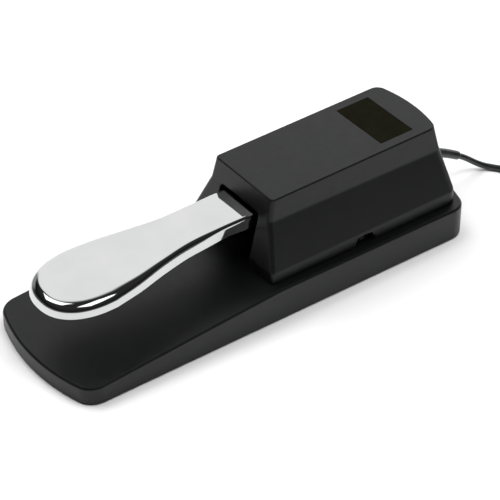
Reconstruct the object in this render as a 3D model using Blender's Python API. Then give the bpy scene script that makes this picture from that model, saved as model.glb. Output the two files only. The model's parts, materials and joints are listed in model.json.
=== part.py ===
"""Sustain pedal for an electronic keyboard, piano style, with its lead and jack plug.

Metres, +Z up. The pedal's tip points to -Y, +X is the side with the polarity switch, and the origin is
on the floor under the middle of the base. Every sub-part is one named object; cutters are hidden.
"""

import math

import bmesh
import bpy
from mathutils import Vector

# Overall fit
GAP = 0.0003  # between pieces that touch
WALL = 0.0025  # moulded walls of the base and the cover

# Base moulding: a wedge up to the housing, level under it, bowed at both ends
BASE_LENGTH = 0.255
BASE_HALF_WIDTH = 0.0427
BASE_FRONT_HEIGHT = 0.0099
BASE_HEIGHT = 0.0194
BASE_KINK_Y = -0.0042  # where the slope meets the level part
BASE_BOW = 0.0083
BASE_CORNER = 0.011
BASE_EDGE = 0.0014  # rounding of the upper edge
BASE_RIM_Z = 0.0005  # lower rim, just clear of the floor
RIB_Z = 0.0033  # undersides of ribs and bosses
RIB_THICKNESS = 0.0016
RIB_XS, RIB_PITCH = (-0.0215, 0.0, 0.0215), 0.0260
MAT_THICKNESS = 0.0015
PLATE_LOW, PLATE_HIGH = 0.0018, 0.0030
MAT_INSET, PLATE_INSET = 0.0034, 0.0029

# Housing cover: half width, front y, side's rear y, z at the front and z at the rear, from the bottom up
COVER_BOTTOM_Z = BASE_HEIGHT + GAP
COVER_LEVELS = (
    (0.0368, -0.0054, 0.1178, COVER_BOTTOM_Z, COVER_BOTTOM_Z),
    (0.0363, -0.0051, 0.1177, 0.0252, 0.0266),  # top of the upright skirt
    (0.0259, 0.0009, 0.1142, 0.0500, 0.0493),  # crease between the two side facets
    (0.0249, 0.0032, 0.1109, 0.0619, 0.0638),  # roof
)
COVER_BOW = 0.0039  # of the rear wall
COVER_FRONT_CORNER, COVER_REAR_CORNER = 0.0026, 0.0060
COVER_EDGE = 0.0009  # rounding of the roof's edge
LEAST_CORNER, LEAST_BOW = 0.0006, 0.00001  # of the hollow's corners, and of a wall that is all but flat
SLOT_HALF_WIDTH, SLOT_TOP_Z, SLOT_CORNER = 0.0165, 0.0505, 0.0030
NOTCH_Y, NOTCH_HALF, NOTCH_TOP_Z = 0.0555, 0.0050, 0.0245
SCOOP_X, SCOOP_RADII = 0.0385, (0.0034, 0.0085, 0.0072)  # thumb scoop around the notch
PLATE_X, PLATE_Y0, PLATE_Y1 = 0.0187, 0.0785, 0.0995  # blank name plate on the roof
PLATE_DEPTH, PLATE_MARGIN, PLATE_PROUD = 0.0008, 0.0002, 0.0001

# Lever: plan half widths along y behind the round nose, and the arched top
NOSE_Y, NOSE_LENGTH, NOSE_HALF_WIDTH, NOSE_POWER = -0.0900, 0.0300, 0.0233, 2.3
WAIST = ((-0.0900, 0.0233), (-0.0750, 0.0212), (-0.0600, 0.0178), (-0.0450, 0.0150),
         (-0.0330, 0.0139), (-0.0200, 0.0136), (0.0050, 0.0136), (0.0140, 0.0100))  # fmt: skip
ARM_HALF_WIDTH, ARM_END_Y, ARM_END_BOW = 0.0100, 0.0850, 0.0003
LEVER_TOP_Z, LEVER_RISE, LEVER_ARCH = 0.0488, 0.0139, 0.258  # z = top + rise*y - arch*y^2 ahead of y = 0
LEVER_AHEAD_DEPTH, LEVER_DEPTH = 0.0068, 0.0082  # ahead of the housing and inside it
LEVER_FLARE = 0.0017  # by which the bottom stands out past the top, ahead of the housing
LEVER_SOFT = 0.0006  # rounding of the bottom edge
LEVER_SKIN = 0.0026  # metal over the pockets underneath
POCKET_WALL, SPINE, POCKET_REACH = 0.0034, 0.0020, 0.0150  # round the pockets, between them, and down
LEVER_RIBS = (-0.1150, -0.0960, -0.0730, -0.0500, -0.0270, -0.0040)
NOSE_RIM, WAIST_RIM, ARM_RIM = (0.0055, 0.0033), (0.0023, 0.0029), (0.0019, 0.0018)  # its reach and drop
RIM_POWER = 2.2

# Pivot
PIVOT_Y, PIVOT_Z = 0.0820, 0.0445
PEDAL_DEGREES = 5.2
AXLE_RADIUS, AXLE_HALF_LENGTH = 0.0030, 0.0165
AXLE_CLEARANCE = 0.00008
BARREL_RADIUS, BARREL_HALF_LENGTH = 0.0065, 0.0110
BUSH_RADIUS, BUSH_FLANGE_RADIUS, BUSH_INNER_X = 0.0040, 0.0055, 0.0030
EAR_INNER_X, SHEET_STEEL = 0.0123, 0.0015
BRACKET_Y0, BRACKET_Y1, BRACKET_TOP_Z = 0.0700, 0.0940, 0.0520
CLIP_X, CLIP_THICKNESS, CLIP_RADIUS, GROOVE_RADIUS = 0.0143, 0.0006, 0.0050, 0.0023

# Spring and stops
SPRING_Y, SPRING_RADIUS, SPRING_WIRE, SPRING_TURNS = 0.0220, 0.0055, 0.00075, 7.5
SPRING_LOW_Z, SPRING_HIGH_Z, CAP_STEM_Z = 0.0215, 0.0388, 0.0445
SEAT_RADIUS, SPIGOT_RADIUS, STEM_RADIUS, CAP_STEM_RADIUS = 0.0080, 0.0040, 0.0030, 0.0025
CAP_SPIGOT_RADIUS = 0.0038  # smaller, because the cap tilts with the lever
STOP_RIB_Y0, STOP_RIB_Y1, STOP_RIB_HALF, STOP_RIB_Z = 0.0085, 0.0155, 0.0090, 0.0525
LOWER_STOP_Y, LOWER_STOP_RADIUS, LOWER_STOP_TOP = 0.0380, 0.0050, 0.0359

# Electrical pieces
SWITCH_Y0, SWITCH_Y1, SWITCH_HALF, SWITCH_Z0, SWITCH_Z1 = 0.0485, 0.0683, 0.0032, 0.0260, 0.0362
PLUNGER_Y, PLUNGER_RADIUS, PLUNGER_Z0, PLUNGER_Z1, WELL_Z = 0.0600, 0.0013, 0.0335, 0.0404, 0.0308
SWITCH_SCREW_YS, SWITCH_SCREW_Z, SWITCH_SCREW_RADIUS = (0.0535, 0.0633), 0.0286, 0.0010
ANGLE_X, ANGLE_Z, ANGLE_Y0, ANGLE_Y1, ANGLE_STEEL = 0.0155, 0.0350, 0.0500, 0.0670, 0.0012
ANGLE_SCREW = (0.0112, 0.0584)
TERMINAL_YS = (0.0515, 0.0584, 0.0653)
TERMINAL_HALF, TERMINAL_THICKNESS, TERMINAL_Z = 0.0015, 0.0005, 0.0225
POLARITY_X0, POLARITY_X1, POLARITY_Z1 = 0.0265, 0.0330, 0.0256
POLARITY_HALF_LENGTH, POLARITY_TRAVEL = 0.0060, 0.0026
TRACK_DEPTH, TRACK_HALF, TRACK_Z0, TRACK_Z1 = 0.0020, 0.0036, 0.0209, 0.0238
SLIDER_DEPTH, SLIDER_TIP_X, SLIDER_HALF, SLIDER_Z0, SLIDER_Z1 = 0.0016, 0.0352, 0.0016, 0.0213, 0.0234
BOARD_X0, BOARD_X1, BOARD_Y0, BOARD_Y1, BOARD_Z1 = 0.0247, 0.0262, 0.0460, 0.0660, 0.0310

# Screws
COVER_SCREWS = ((-0.0295, 0.012), (0.0295, 0.012), (-0.0295, 0.104), (0.0295, 0.104))
PLATE_SCREWS = ((-0.028, -0.094), (0.028, -0.094), (-0.030, 0.058), (0.030, 0.058))
BRACKET_SCREWS = ((0.0, 0.0745), (0.0, 0.0895))
SCREW_RADIUS, HEAD_RADIUS, HEAD_HEIGHT = 0.0015, 0.0030, 0.0018
PILOT_RADIUS = SCREW_RADIUS + GAP
BOSS_RADIUS, COUNTERBORE_RADIUS, COUNTERBORE_Z = 0.0050, 0.0036, 0.0100
COVER_SCREW_TIP_Z, COVER_PILOT_Z, BRACKET_SCREW_TIP_Z = 0.0320, 0.0330, 0.0075
PLATE_PILOT_SKIN, PLATE_TIP_SKIN, PLATE_HEAD_HEIGHT = 0.0019, 0.0026, 0.0012
SMALL_SCREW_RADIUS, SMALL_HEAD_RADIUS, SMALL_HEAD_HEIGHT, SMALL_TIP_Z = 0.0012, 0.0022, 0.0014, 0.0120
SMALL_PILOT_RADIUS = 0.0015

# Cord clamp, on a saddle of the base
CLAMP_SCREWS = ((-0.0078, 0.1030), (0.0078, 0.1030))
SADDLE_X, SADDLE_Y0, SADDLE_Y1, SADDLE_Z = 0.0110, 0.0995, 0.1065, 0.0236
CLAMP_Y0, CLAMP_Y1, CLAMP_Z0, CLAMP_Z1 = 0.0997, 0.1063, 0.0239, 0.0289

# Lead: a 3.5 mm cord, its moulded relief, its coil and its plug
CORD_DIAMETER = 0.0035
CORD_RADIUS = CORD_DIAMETER / 2
CORD_INNER_Z = 0.02565
RELIEF_ROUTE = ((0, 0.1140, CORD_INNER_Z), (0, 0.1215, CORD_INNER_Z), (0, 0.1290, 0.0253),
                (0, 0.1370, 0.0224), (0, 0.1440, 0.0188), (0, 0.1507, 0.0149))  # fmt: skip
CORD_ROUTE = ((0, 0.1507, 0.0149), (0.0001, 0.1552, 0.0118), (0.0004, 0.1597, 0.0083),
              (0.0014, 0.1640, 0.0050), (0.0034, 0.1681, 0.0027), (0.0064, 0.1714, 0.0020),
              (0.0110, 0.1747, 0.0020), (0.0178, 0.1781, 0.0021), (0.0244, 0.1813, 0.0023))  # fmt: skip
COIL_X, COIL_Y = 0.0270, 0.2100
COIL_RADIUS = 0.0210  # at the middle of the turns, twelve cord diameters across
TURNS_WIDE, TURNS_HIGH = 3, 4
COIL_LOW_Z = 0.0010  # on the tie
TIE_ANGLE, TIE_THICKNESS, TIE_WIDTH = math.radians(100), 0.0006, 0.0040
TAIL_ROUTE = ((0.0517, 0.2254, 0.0119), (0.0529, 0.2324, 0.0104), (0.0566, 0.2373, 0.0091),
              (0.0621, 0.2390, 0.0080), (0.0676, 0.2373, 0.0070), (0.0713, 0.2324, 0.0062),
              (0.0724, 0.2265, 0.0057), (0.0725, 0.2210, 0.0056))  # fmt: skip
PLUG_PLACE = (0.0725, 0.2207, 0.0056)  # where the cord enters the plug; the plug points to -Y
PIN_RADIUS = 0.003175
FLANGE_RADIUS, NECK_RADIUS, RELIEF_HOLE_RADIUS, SLEEVE_RADII = 0.0045, 0.0026, 0.0031, (0.0027, 0.0024)
WIRE_RADIUS = 0.00065

ROUND = 20  # segments of a full circle on turned pieces
HOLE_ROUND = 12  # and of a drilled hole or a boss
BEARING_ROUND = 24  # and of the axle and its bushes
SCREW_ROUND = 10


# ---------------------------------------------------------------- modelling helpers


def material(name, colour, roughness, metallic=0.0):
    """A Principled material; colour is linear RGB."""
    m = bpy.data.materials.new(name)
    m.use_nodes = True
    shader = m.node_tree.nodes["Principled BSDF"]
    shader.inputs["Base Color"].default_value = (*colour, 1.0)
    shader.inputs["Roughness"].default_value = roughness
    shader.inputs["Metallic"].default_value = metallic
    return m


def add(name, bm, mat=None, smooth_angle=None, parent=None):
    """Turns a bmesh in world coordinates into a named object, measured from its parent's place."""
    bmesh.ops.recalc_face_normals(bm, faces=bm.faces)
    bmesh.ops.triangulate(bm, faces=[f for f in bm.faces if not is_flat(f)])
    if parent:
        bmesh.ops.translate(bm, verts=bm.verts, vec=-parent.location)
    mesh = bpy.data.meshes.new(name)
    bm.to_mesh(mesh)
    bm.free()
    obj = bpy.data.objects.new(name, mesh)
    bpy.context.collection.objects.link(obj)
    obj.parent = parent
    if mat:
        mesh.materials.append(mat)
    if smooth_angle:
        mesh.shade_smooth()
        mesh.set_sharp_from_angle(angle=math.radians(smooth_angle))
    return obj


def is_flat(face):
    middle = face.calc_center_median()
    return all(abs((v.co - middle).dot(face.normal)) < 1e-7 for v in face.verts)


def pivot_empty(name, place):
    empty = bpy.data.objects.new(name, None)
    empty.location = place
    bpy.context.collection.objects.link(empty)
    return empty


def boolean(target, tool, operation="DIFFERENCE"):
    """Adds an exact Boolean and hides its tool."""
    modifier = target.modifiers.new(tool.name, "BOOLEAN")
    modifier.operation = operation
    modifier.solver = "EXACT"
    modifier.object = tool
    tool.hide_render = True
    tool.display_type = "WIRE"


def loft(rings, bm=None, ladder=False):
    """Skin over closed rings of equal length. Ladder caps join each point to its mirror image, so a cap
    may slope or arch along y and still have flat faces."""
    bm = bm or bmesh.new()
    loops = [[bm.verts.new(p) for p in ring] for ring in rings]
    count = len(rings[0])
    for low, high in zip(loops, loops[1:]):
        for i in range(count):
            j = (i + 1) % count
            bm.faces.new((low[i], low[j], high[j], high[i]))
    for loop in (loops[0], loops[-1]):
        if ladder:
            for i in range(count // 2):
                corners = (loop[i], loop[i + 1], loop[(count - i - 1) % count], loop[(count - i) % count])
                bm.faces.new(tuple(dict.fromkeys(corners)))
        else:
            bm.faces.new(loop)
    return bm


def hoop(rings):
    """Skin over rings that follow each other in a circle, such as a bored turning."""
    bm = bmesh.new()
    loops = [[bm.verts.new(p) for p in ring] for ring in rings]
    count = len(rings[0])
    for first, second in zip(loops, loops[1:] + loops[:1]):
        for i in range(count):
            j = (i + 1) % count
            bm.faces.new((first[i], first[j], second[j], second[i]))
    return bm


def box(x0, x1, y0, y1, z0, z1, bm=None):
    outline = ((x0, y0), (x1, y0), (x1, y1), (x0, y1))
    return loft([[(x, y, z) for x, y in outline] for z in (z0, z1)], bm)


def circle(radius, count=ROUND):
    return [(radius * math.cos(2 * math.pi * i / count), radius * math.sin(2 * math.pi * i / count))
            for i in range(count)]  # fmt: skip


def turned(profile, place, axis="Z", count=ROUND, bm=None):
    """A solid turned about an axis through place; profile is (distance along the axis, radius)."""
    x, y, z = place
    rings = []
    for along, radius in profile:
        ring = circle(radius, count)
        if axis == "Z":
            rings.append([(x + a, y + b, z + along) for a, b in ring])
        elif axis == "X":
            rings.append([(x + along, y + a, z + b) for a, b in ring])
        else:
            rings.append([(x + b, y + along, z + a) for a, b in ring])
    return loft(rings, bm)


def cylinders(spots, radius, z0, z1, count=HOLE_ROUND):
    """Several upright cylinders in one mesh, for cutting."""
    bm = bmesh.new()
    for x, y in spots:
        turned(((z0, radius), (z1, radius)), (x, y, 0), count=count, bm=bm)
    return bm


def mirrored(half):
    """A closed outline from its right half, which runs from the front centre to the rear centre."""
    return half + [(-x, y) for x, y in reversed(half[1:-1])]


def inset(outline, distance):
    """The outline moved inwards along its normals; distance may be a number or a function of (x, y)."""
    moved = []
    for i, (x, y) in enumerate(outline):
        (xa, ya), (xb, yb) = outline[i - 1], outline[(i + 1) % len(outline)]
        before, after = Vector((x - xa, y - ya)).normalized(), Vector((xb - x, yb - y)).normalized()
        along = (before + after).normalized()
        amount = distance(x, y) if callable(distance) else distance
        amount /= max(along.dot(after), 0.5)
        moved.append((x - along.y * amount, y + along.x * amount))
    return moved


def bowed_end(half_width, bow, corner, steps):
    """Points from the middle of a bowed end to its side, as (x, distance back from the end's tip)."""
    radius = (half_width**2 + bow**2) / (2 * bow)
    centre_x = half_width - corner
    centre_y = radius - math.sqrt((radius - corner) ** 2 - centre_x**2)
    turn = math.asin(centre_x / (radius - corner))
    points = [(radius * math.sin(turn * i / steps), radius - radius * math.cos(turn * i / steps))
              for i in range(steps)]  # fmt: skip
    for i in range(steps + 1):
        angle = turn + (math.pi / 2 - turn) * i / steps
        points.append((centre_x + corner * math.sin(angle), centre_y - corner * math.cos(angle)))
    return points


def smooth_line(points, spacing):
    """Points about a spacing apart on a smooth curve through the given ones."""
    route = [Vector(p) for p in points]
    route = [2 * route[0] - route[1], *route, 2 * route[-1] - route[-2]]
    line = [route[1]]
    for a, b, c, d in zip(route, route[1:], route[2:], route[3:]):
        count = max(1, round((c - b).length / spacing))
        for i in range(1, count + 1):
            t = i / count
            line.append(0.5 * (2 * b + (c - a) * t + (2 * a - 5 * b + 4 * c - d) * t**2
                               + (3 * b - a - 3 * c + d) * t**3))  # fmt: skip
    return line


def tube(name, points, radius, mat, spacing, resolution=2):
    """A round cord or wire as a bevelled curve with closed ends."""
    curve = bpy.data.curves.new(name, "CURVE")
    curve.dimensions = "3D"
    curve.bevel_depth = radius
    curve.bevel_resolution = resolution
    curve.use_fill_caps = True
    line = smooth_line(points, spacing)
    spline = curve.splines.new("POLY")
    spline.points.add(len(line) - 1)
    for point, place in zip(spline.points, line):
        point.co = (*place, 1.0)
    spline.use_smooth = True
    curve.materials.append(mat)
    obj = bpy.data.objects.new(name, curve)
    bpy.context.collection.objects.link(obj)
    return obj


def swept(line, radii, count=12):
    """A round solid along a line in the plane x = 0, with its own radius at each point."""
    rings = []
    for i, (point, radius) in enumerate(zip(line, radii)):
        along = (line[min(i + 1, len(line) - 1)] - line[max(i - 1, 0)]).normalized()
        up = Vector((0, -along.z, along.y))
        rings.append([point + Vector((a, 0, 0)) + up * b for a, b in circle(radius, count)])
    return loft(rings)


# ---------------------------------------------------------------- base


def base_top(y):
    slope = (BASE_HEIGHT - BASE_FRONT_HEIGHT) / (BASE_KINK_Y + BASE_LENGTH / 2)
    return min(BASE_HEIGHT, BASE_HEIGHT + slope * (y - BASE_KINK_Y))


def base_outline():
    end = bowed_end(BASE_HALF_WIDTH, BASE_BOW, BASE_CORNER, steps=6)
    front = [(x, y - BASE_LENGTH / 2) for x, y in end]
    rear = [(x, -y) for x, y in reversed(front)]
    return mirrored([*front, (BASE_HALF_WIDTH, BASE_KINK_Y), *rear])


def base_shell(mat):
    outline = base_outline()
    rings = [[(x, y, BASE_RIM_Z) for x, y in inset(outline, 0.0004)],
             [(x, y, BASE_RIM_Z + 0.0006) for x, y in outline]]  # fmt: skip
    for step in range(4):
        turn = math.pi / 2 * step / 3
        inward, drop = BASE_EDGE * (1 - math.cos(turn)), BASE_EDGE * (1 - math.sin(turn))
        rings.append([(x, y, base_top(y) - drop) for x, y in inset(outline, inward)])
    base = add("base_shell", loft(rings, ladder=True), mat, smooth_angle=35)

    saddle = box(-SADDLE_X, SADDLE_X, SADDLE_Y0, SADDLE_Y1, BASE_HEIGHT - WALL / 2, SADDLE_Z)
    boolean(base, add("cut_saddle", saddle), "UNION")

    inner = inset(outline, WALL)
    hollow = loft([[(x, y, -WALL) for x, y in inner], [(x, y, base_top(y) - WALL) for x, y in inner]],
                  ladder=True)  # fmt: skip
    hollow = add("cut_base_hollow", hollow)
    ribs = bmesh.new()
    for x in RIB_XS:
        box(x - RIB_THICKNESS / 2, x + RIB_THICKNESS / 2, -BASE_LENGTH, BASE_LENGTH, RIB_Z, BASE_HEIGHT,
            ribs)  # fmt: skip
    boolean(hollow, add("cut_long_ribs", ribs))
    ribs = bmesh.new()
    for step in range(-4, 5):
        y = RIB_PITCH * step
        box(-BASE_LENGTH, BASE_LENGTH, y - RIB_THICKNESS / 2, y + RIB_THICKNESS / 2, RIB_Z, BASE_HEIGHT,
            ribs)  # fmt: skip
    boolean(hollow, add("cut_cross_ribs", ribs))
    bosses = cylinders((*COVER_SCREWS, *PLATE_SCREWS, *BRACKET_SCREWS), BOSS_RADIUS, RIB_Z, BASE_HEIGHT)
    boolean(hollow, add("cut_bosses", bosses))
    boolean(base, hollow)

    counterbores = cylinders(COVER_SCREWS, COUNTERBORE_RADIUS, 0.0, COUNTERBORE_Z)
    boolean(base, add("cut_counterbores", counterbores))
    boolean(base, add("cut_cover_holes", cylinders(COVER_SCREWS, PILOT_RADIUS, 0.0, BASE_HEIGHT + WALL)))
    plate_pilots = bmesh.new()
    for x, y in PLATE_SCREWS:
        turned(((0.0, PILOT_RADIUS), (base_top(y) - PLATE_PILOT_SKIN, PILOT_RADIUS)), (x, y, 0),
               count=HOLE_ROUND, bm=plate_pilots)  # fmt: skip
    boolean(base, add("cut_plate_pilots", plate_pilots))
    boolean(base, add("cut_bracket_pilots", cylinders(BRACKET_SCREWS, PILOT_RADIUS, 0.0060, 0.0250)))
    stems = cylinders(((0, SPRING_Y), (0, LOWER_STOP_Y)), STEM_RADIUS + GAP, 0.0, BASE_HEIGHT + WALL)
    boolean(base, add("cut_stems", stems))
    small = cylinders((*CLAMP_SCREWS, ANGLE_SCREW), SMALL_PILOT_RADIUS, SMALL_TIP_Z - 0.0010, 0.0300)
    boolean(base, add("cut_small_pilots", small))


def under_sheet(name, mat, sheet_inset, z0, z1, hole_radii):
    """The steel plate or the rubber mat under the base, with a hole at each screw."""
    outline = inset(base_outline(), sheet_inset)
    sheet = add(name, loft([[(x, y, z) for x, y in outline] for z in (z0, z1)], ladder=True), mat)
    cover_hole, plate_hole = hole_radii
    holes = cylinders(COVER_SCREWS, cover_hole, z0 - WALL, z1 + WALL)
    for x, y in PLATE_SCREWS:
        turned(((z0 - WALL, plate_hole), (z1 + WALL, plate_hole)), (x, y, 0), count=HOLE_ROUND, bm=holes)
    boolean(sheet, add("cut_" + name, holes))


# ---------------------------------------------------------------- cover


def roof_z(y):
    _, front, rear, front_z, rear_z = COVER_LEVELS[-1]
    return front_z + (rear_z - front_z) * (y - front) / (rear - front)


def cover_ring(level, wall=0.0, edge=0.0, drop=0.0):
    """One closed ring of the cover. wall moves it in for the hollow, edge moves it in at the roof."""
    half_width, front, rear, front_z, rear_z = level
    half_width -= wall
    corner_front = max(COVER_FRONT_CORNER - wall, LEAST_CORNER)
    corner_rear = max(COVER_REAR_CORNER - wall, LEAST_CORNER)
    front_half = [(x, front + wall + y) for x, y in bowed_end(half_width, LEAST_BOW, corner_front, 5)]
    rear_half = [(x, rear + COVER_BOW - wall - y)
                 for x, y in bowed_end(half_width, COVER_BOW, corner_rear, 6)]  # fmt: skip
    outline = mirrored(front_half + rear_half[::-1])
    if edge:
        outline = inset(outline, edge)
    slope = (rear_z - front_z) / (rear - front)
    return [(x, y, front_z + slope * (y - front) - drop) for x, y in outline]


def housing_cover(mat):
    rings = [cover_ring(level) for level in COVER_LEVELS[:-1]]
    for step in range(4):
        turn = math.pi / 2 * step / 3
        inward, drop = COVER_EDGE * (1 - math.cos(turn)), COVER_EDGE * (1 - math.sin(turn))
        rings.append(cover_ring(COVER_LEVELS[-1], edge=inward, drop=drop))
    cover = add("housing_cover", loft(rings, ladder=True), mat, smooth_angle=30)

    bottom, *rest = COVER_LEVELS
    inner = [cover_ring(bottom, wall=WALL, drop=WALL)] + [cover_ring(level, wall=WALL) for level in rest[:-1]]
    inner.append(cover_ring(rest[-1], wall=WALL, drop=WALL))
    hollow = add("cut_cover_hollow", loft(inner, ladder=True))
    boolean(hollow, add("cut_posts", cylinders(COVER_SCREWS, BOSS_RADIUS - GAP, 0.0, 0.08)))
    stop_rib = box(-STOP_RIB_HALF, STOP_RIB_HALF, STOP_RIB_Y0, STOP_RIB_Y1, STOP_RIB_Z, 0.08)
    boolean(hollow, add("cut_stop_rib", stop_rib))
    boolean(cover, hollow)
    boolean(cover, add("cut_post_pilots", cylinders(COVER_SCREWS, PILOT_RADIUS, 0.0, COVER_PILOT_Z)))

    top = [(SLOT_HALF_WIDTH - SLOT_CORNER * (1 - math.cos(a)), SLOT_TOP_Z - SLOT_CORNER * (1 - math.sin(a)))
           for a in (math.pi / 2 * i / 4 for i in range(5))]  # fmt: skip
    slot = [(SLOT_HALF_WIDTH, 0.0), *top, *((-x, z) for x, z in reversed(top)), (-SLOT_HALF_WIDTH, 0.0)]
    slot_cut = loft([[(x, y, z) for x, z in slot] for y in (-0.02, STOP_RIB_Y0 - 0.0015)])
    boolean(cover, add("cut_slot", slot_cut))

    scoop = bmesh.new()
    bmesh.ops.create_uvsphere(scoop, u_segments=24, v_segments=14, radius=1.0)
    bmesh.ops.scale(scoop, verts=scoop.verts, vec=SCOOP_RADII)
    bmesh.ops.translate(scoop, verts=scoop.verts, vec=(SCOOP_X, NOTCH_Y, COVER_BOTTOM_Z - GAP))
    boolean(cover, add("cut_scoop", scoop))
    notch = box(0.0300, 0.0420, NOTCH_Y - NOTCH_HALF, NOTCH_Y + NOTCH_HALF, 0.0150, NOTCH_TOP_Z)
    boolean(cover, add("cut_notch", notch))
    hole = ((0.1100, RELIEF_HOLE_RADIUS), (0.1300, RELIEF_HOLE_RADIUS))
    boolean(cover, add("cut_relief_hole", turned(hole, (0, 0, CORD_INNER_Z), axis="Y")))
    boolean(cover, add("cut_plate_recess", roof_slab(PLATE_MARGIN, PLATE_DEPTH + GAP, 0.0020)))


def roof_slab(margin, deep, proud):
    """A slab that follows the roof's slope, from deep below it to proud above it."""
    outline = [(-PLATE_X - margin, PLATE_Y0 - margin), (PLATE_X + margin, PLATE_Y0 - margin),
               (PLATE_X + margin, PLATE_Y1 + margin), (-PLATE_X - margin, PLATE_Y1 + margin)]  # fmt: skip
    return loft([[(x, y, roof_z(y) + d) for x, y in outline] for d in (-deep, proud)])


# ---------------------------------------------------------------- lever and pivot


def lever_top(y):
    y = min(y, 0.0)
    return LEVER_TOP_Z + LEVER_RISE * y - LEVER_ARCH * y * y


def lever_outline():
    """Plan outline: a superellipse nose, a smooth waist and a narrower arm with a square end."""
    half = []
    for i in range(13):
        angle = math.pi / 2 * i / 12
        x = NOSE_HALF_WIDTH * math.sin(angle) ** (2 / NOSE_POWER)
        y = NOSE_Y - NOSE_LENGTH * math.cos(angle) ** (2 / NOSE_POWER)
        half.append((x, y))
    waist = smooth_line([(x, y, 0) for y, x in WAIST], 0.0070)
    half += [(p.x, p.y) for p in waist[1:]]
    half += [(ARM_HALF_WIDTH, ARM_END_Y - ARM_END_BOW), (0.0, ARM_END_Y)]
    return mirrored(half)


def smoothstep(low, high, value):
    t = min(max((value - low) / (high - low), 0.0), 1.0)
    return t * t * (3 - 2 * t)


def blended(first, second, share):
    return tuple(a + (b - a) * share for a, b in zip(first, second))


def rim_at(y):
    """Reach and drop of the rounded rim at a place along the lever."""
    return blended(blended(NOSE_RIM, WAIST_RIM, smoothstep(-0.098, -0.052, y)), ARM_RIM,
                   smoothstep(-0.040, -0.022, y))  # fmt: skip


def lever_depth(y):
    return LEVER_AHEAD_DEPTH + (LEVER_DEPTH - LEVER_AHEAD_DEPTH) * smoothstep(-0.030, 0.0, y)


def flare_at(y, drop):
    """How far the side stands out at a depth below the top, because it leans."""
    return LEVER_FLARE * (1 - smoothstep(-0.032, -0.012, y)) * drop / lever_depth(y)


def half_width_at(side, y):
    """Half width at a place along the lever, between the points of its right side."""
    for (xa, ya), (xb, yb) in zip(side, side[1:]):
        if ya <= y <= yb:
            return xa + (xb - xa) * (y - ya) / (yb - ya)
    return side[-1][0]


def pedal_lever(mat, pivot):
    """A cast lever: flared sides, a rounded rim, a barrel for the axle and ribbed pockets underneath."""
    outline = lever_outline()
    rings = []
    for inward, rise in ((LEVER_SOFT, 0.0), (0.0, LEVER_SOFT)):
        moved = inset(outline, lambda x, y: inward - flare_at(y, lever_depth(y) - rise))
        rings.append([(x, y, lever_top(y) - lever_depth(y0) + rise)
                      for (x, y), (_, y0) in zip(moved, outline)])  # fmt: skip
    for step in range(7):
        turn = math.pi / 2 * step / 6
        inner = 1 - math.cos(turn) ** (2 / RIM_POWER)
        fall = 1 - math.sin(turn) ** (2 / RIM_POWER)
        moved = inset(outline, lambda x, y: rim_at(y)[0] * inner - flare_at(y, rim_at(y)[1] * fall))
        rings.append([(x, y, lever_top(y) - rim_at(y0)[1] * fall)
                      for (x, y), (_, y0) in zip(moved, outline)])  # fmt: skip
    lever = add("pedal_lever", loft(rings, ladder=True), mat, smooth_angle=40, parent=pivot)
    place = (0, PIVOT_Y, PIVOT_Z)
    barrel = ((-BARREL_HALF_LENGTH, BARREL_RADIUS), (BARREL_HALF_LENGTH, BARREL_RADIUS))
    boolean(lever, add("cut_barrel", turned(barrel, place, axis="X")), "UNION")
    bore = ((-0.03, BUSH_RADIUS + GAP), (0.03, BUSH_RADIUS + GAP))
    boolean(lever, add("cut_barrel_bore", turned(bore, place, axis="X")))
    cap_hole = cylinders(((0, SPRING_Y),), CAP_STEM_RADIUS + GAP, 0.03, CAP_STEM_Z + 0.0005)
    boolean(lever, add("cut_spring_cap_hole", cap_hole))

    side = [p for p in inset(outline, POCKET_WALL) if p[0] > 0 and p[1] < 0]
    pockets = bmesh.new()
    for front, rear in zip(LEVER_RIBS, LEVER_RIBS[1:]):
        for mirror in (-1, 1):
            rows = []
            for step in range(4):
                y = front + SPINE / 2 + (rear - front - SPINE) * step / 3
                wide = half_width_at(side, y)
                corners = ((SPINE / 2, POCKET_REACH), (wide, POCKET_REACH), (wide, LEVER_SKIN),
                           (SPINE / 2, LEVER_SKIN))  # fmt: skip
                rows.append([(mirror * x, y, lever_top(y) - down) for x, down in corners])
            loft(rows, pockets)
    boolean(lever, add("cut_lever_pockets", pockets))


def pivot_bracket(mat):
    """A U of sheet steel; its ears hold the axle."""
    outer, inner = EAR_INNER_X + SHEET_STEEL, EAR_INNER_X
    floor = BASE_HEIGHT + GAP
    profile = [(-outer, floor), (outer, floor), (outer, BRACKET_TOP_Z), (inner, BRACKET_TOP_Z),
               (inner, floor + SHEET_STEEL), (-inner, floor + SHEET_STEEL), (-inner, BRACKET_TOP_Z),
               (-outer, BRACKET_TOP_Z)]  # fmt: skip
    folded = loft([[(x, y, z) for x, z in profile] for y in (BRACKET_Y0, BRACKET_Y1)])
    bracket = add("pivot_bracket", folded, mat)
    hole = turned(((-0.03, AXLE_RADIUS + GAP), (0.03, AXLE_RADIUS + GAP)), (0, PIVOT_Y, PIVOT_Z), axis="X")
    boolean(bracket, add("cut_axle_holes", hole))
    boolean(bracket, add("cut_bracket_screws", cylinders(BRACKET_SCREWS, PILOT_RADIUS, 0.015, 0.030)))


def pivot_axle(mat):
    end, groove = AXLE_HALF_LENGTH, (CLIP_X - GAP / 2, CLIP_X + CLIP_THICKNESS + GAP / 2)
    side = [(groove[0], AXLE_RADIUS), (groove[0], GROOVE_RADIUS), (groove[1], GROOVE_RADIUS),
            (groove[1], AXLE_RADIUS), (end - 0.0005, AXLE_RADIUS), (end, AXLE_RADIUS - 0.0005)]  # fmt: skip
    profile = [(-x, r) for x, r in reversed(side)] + side
    axle = turned(profile, (0, PIVOT_Y, PIVOT_Z), axis="X", count=BEARING_ROUND)
    add("pivot_axle", axle, mat, smooth_angle=30)


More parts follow.
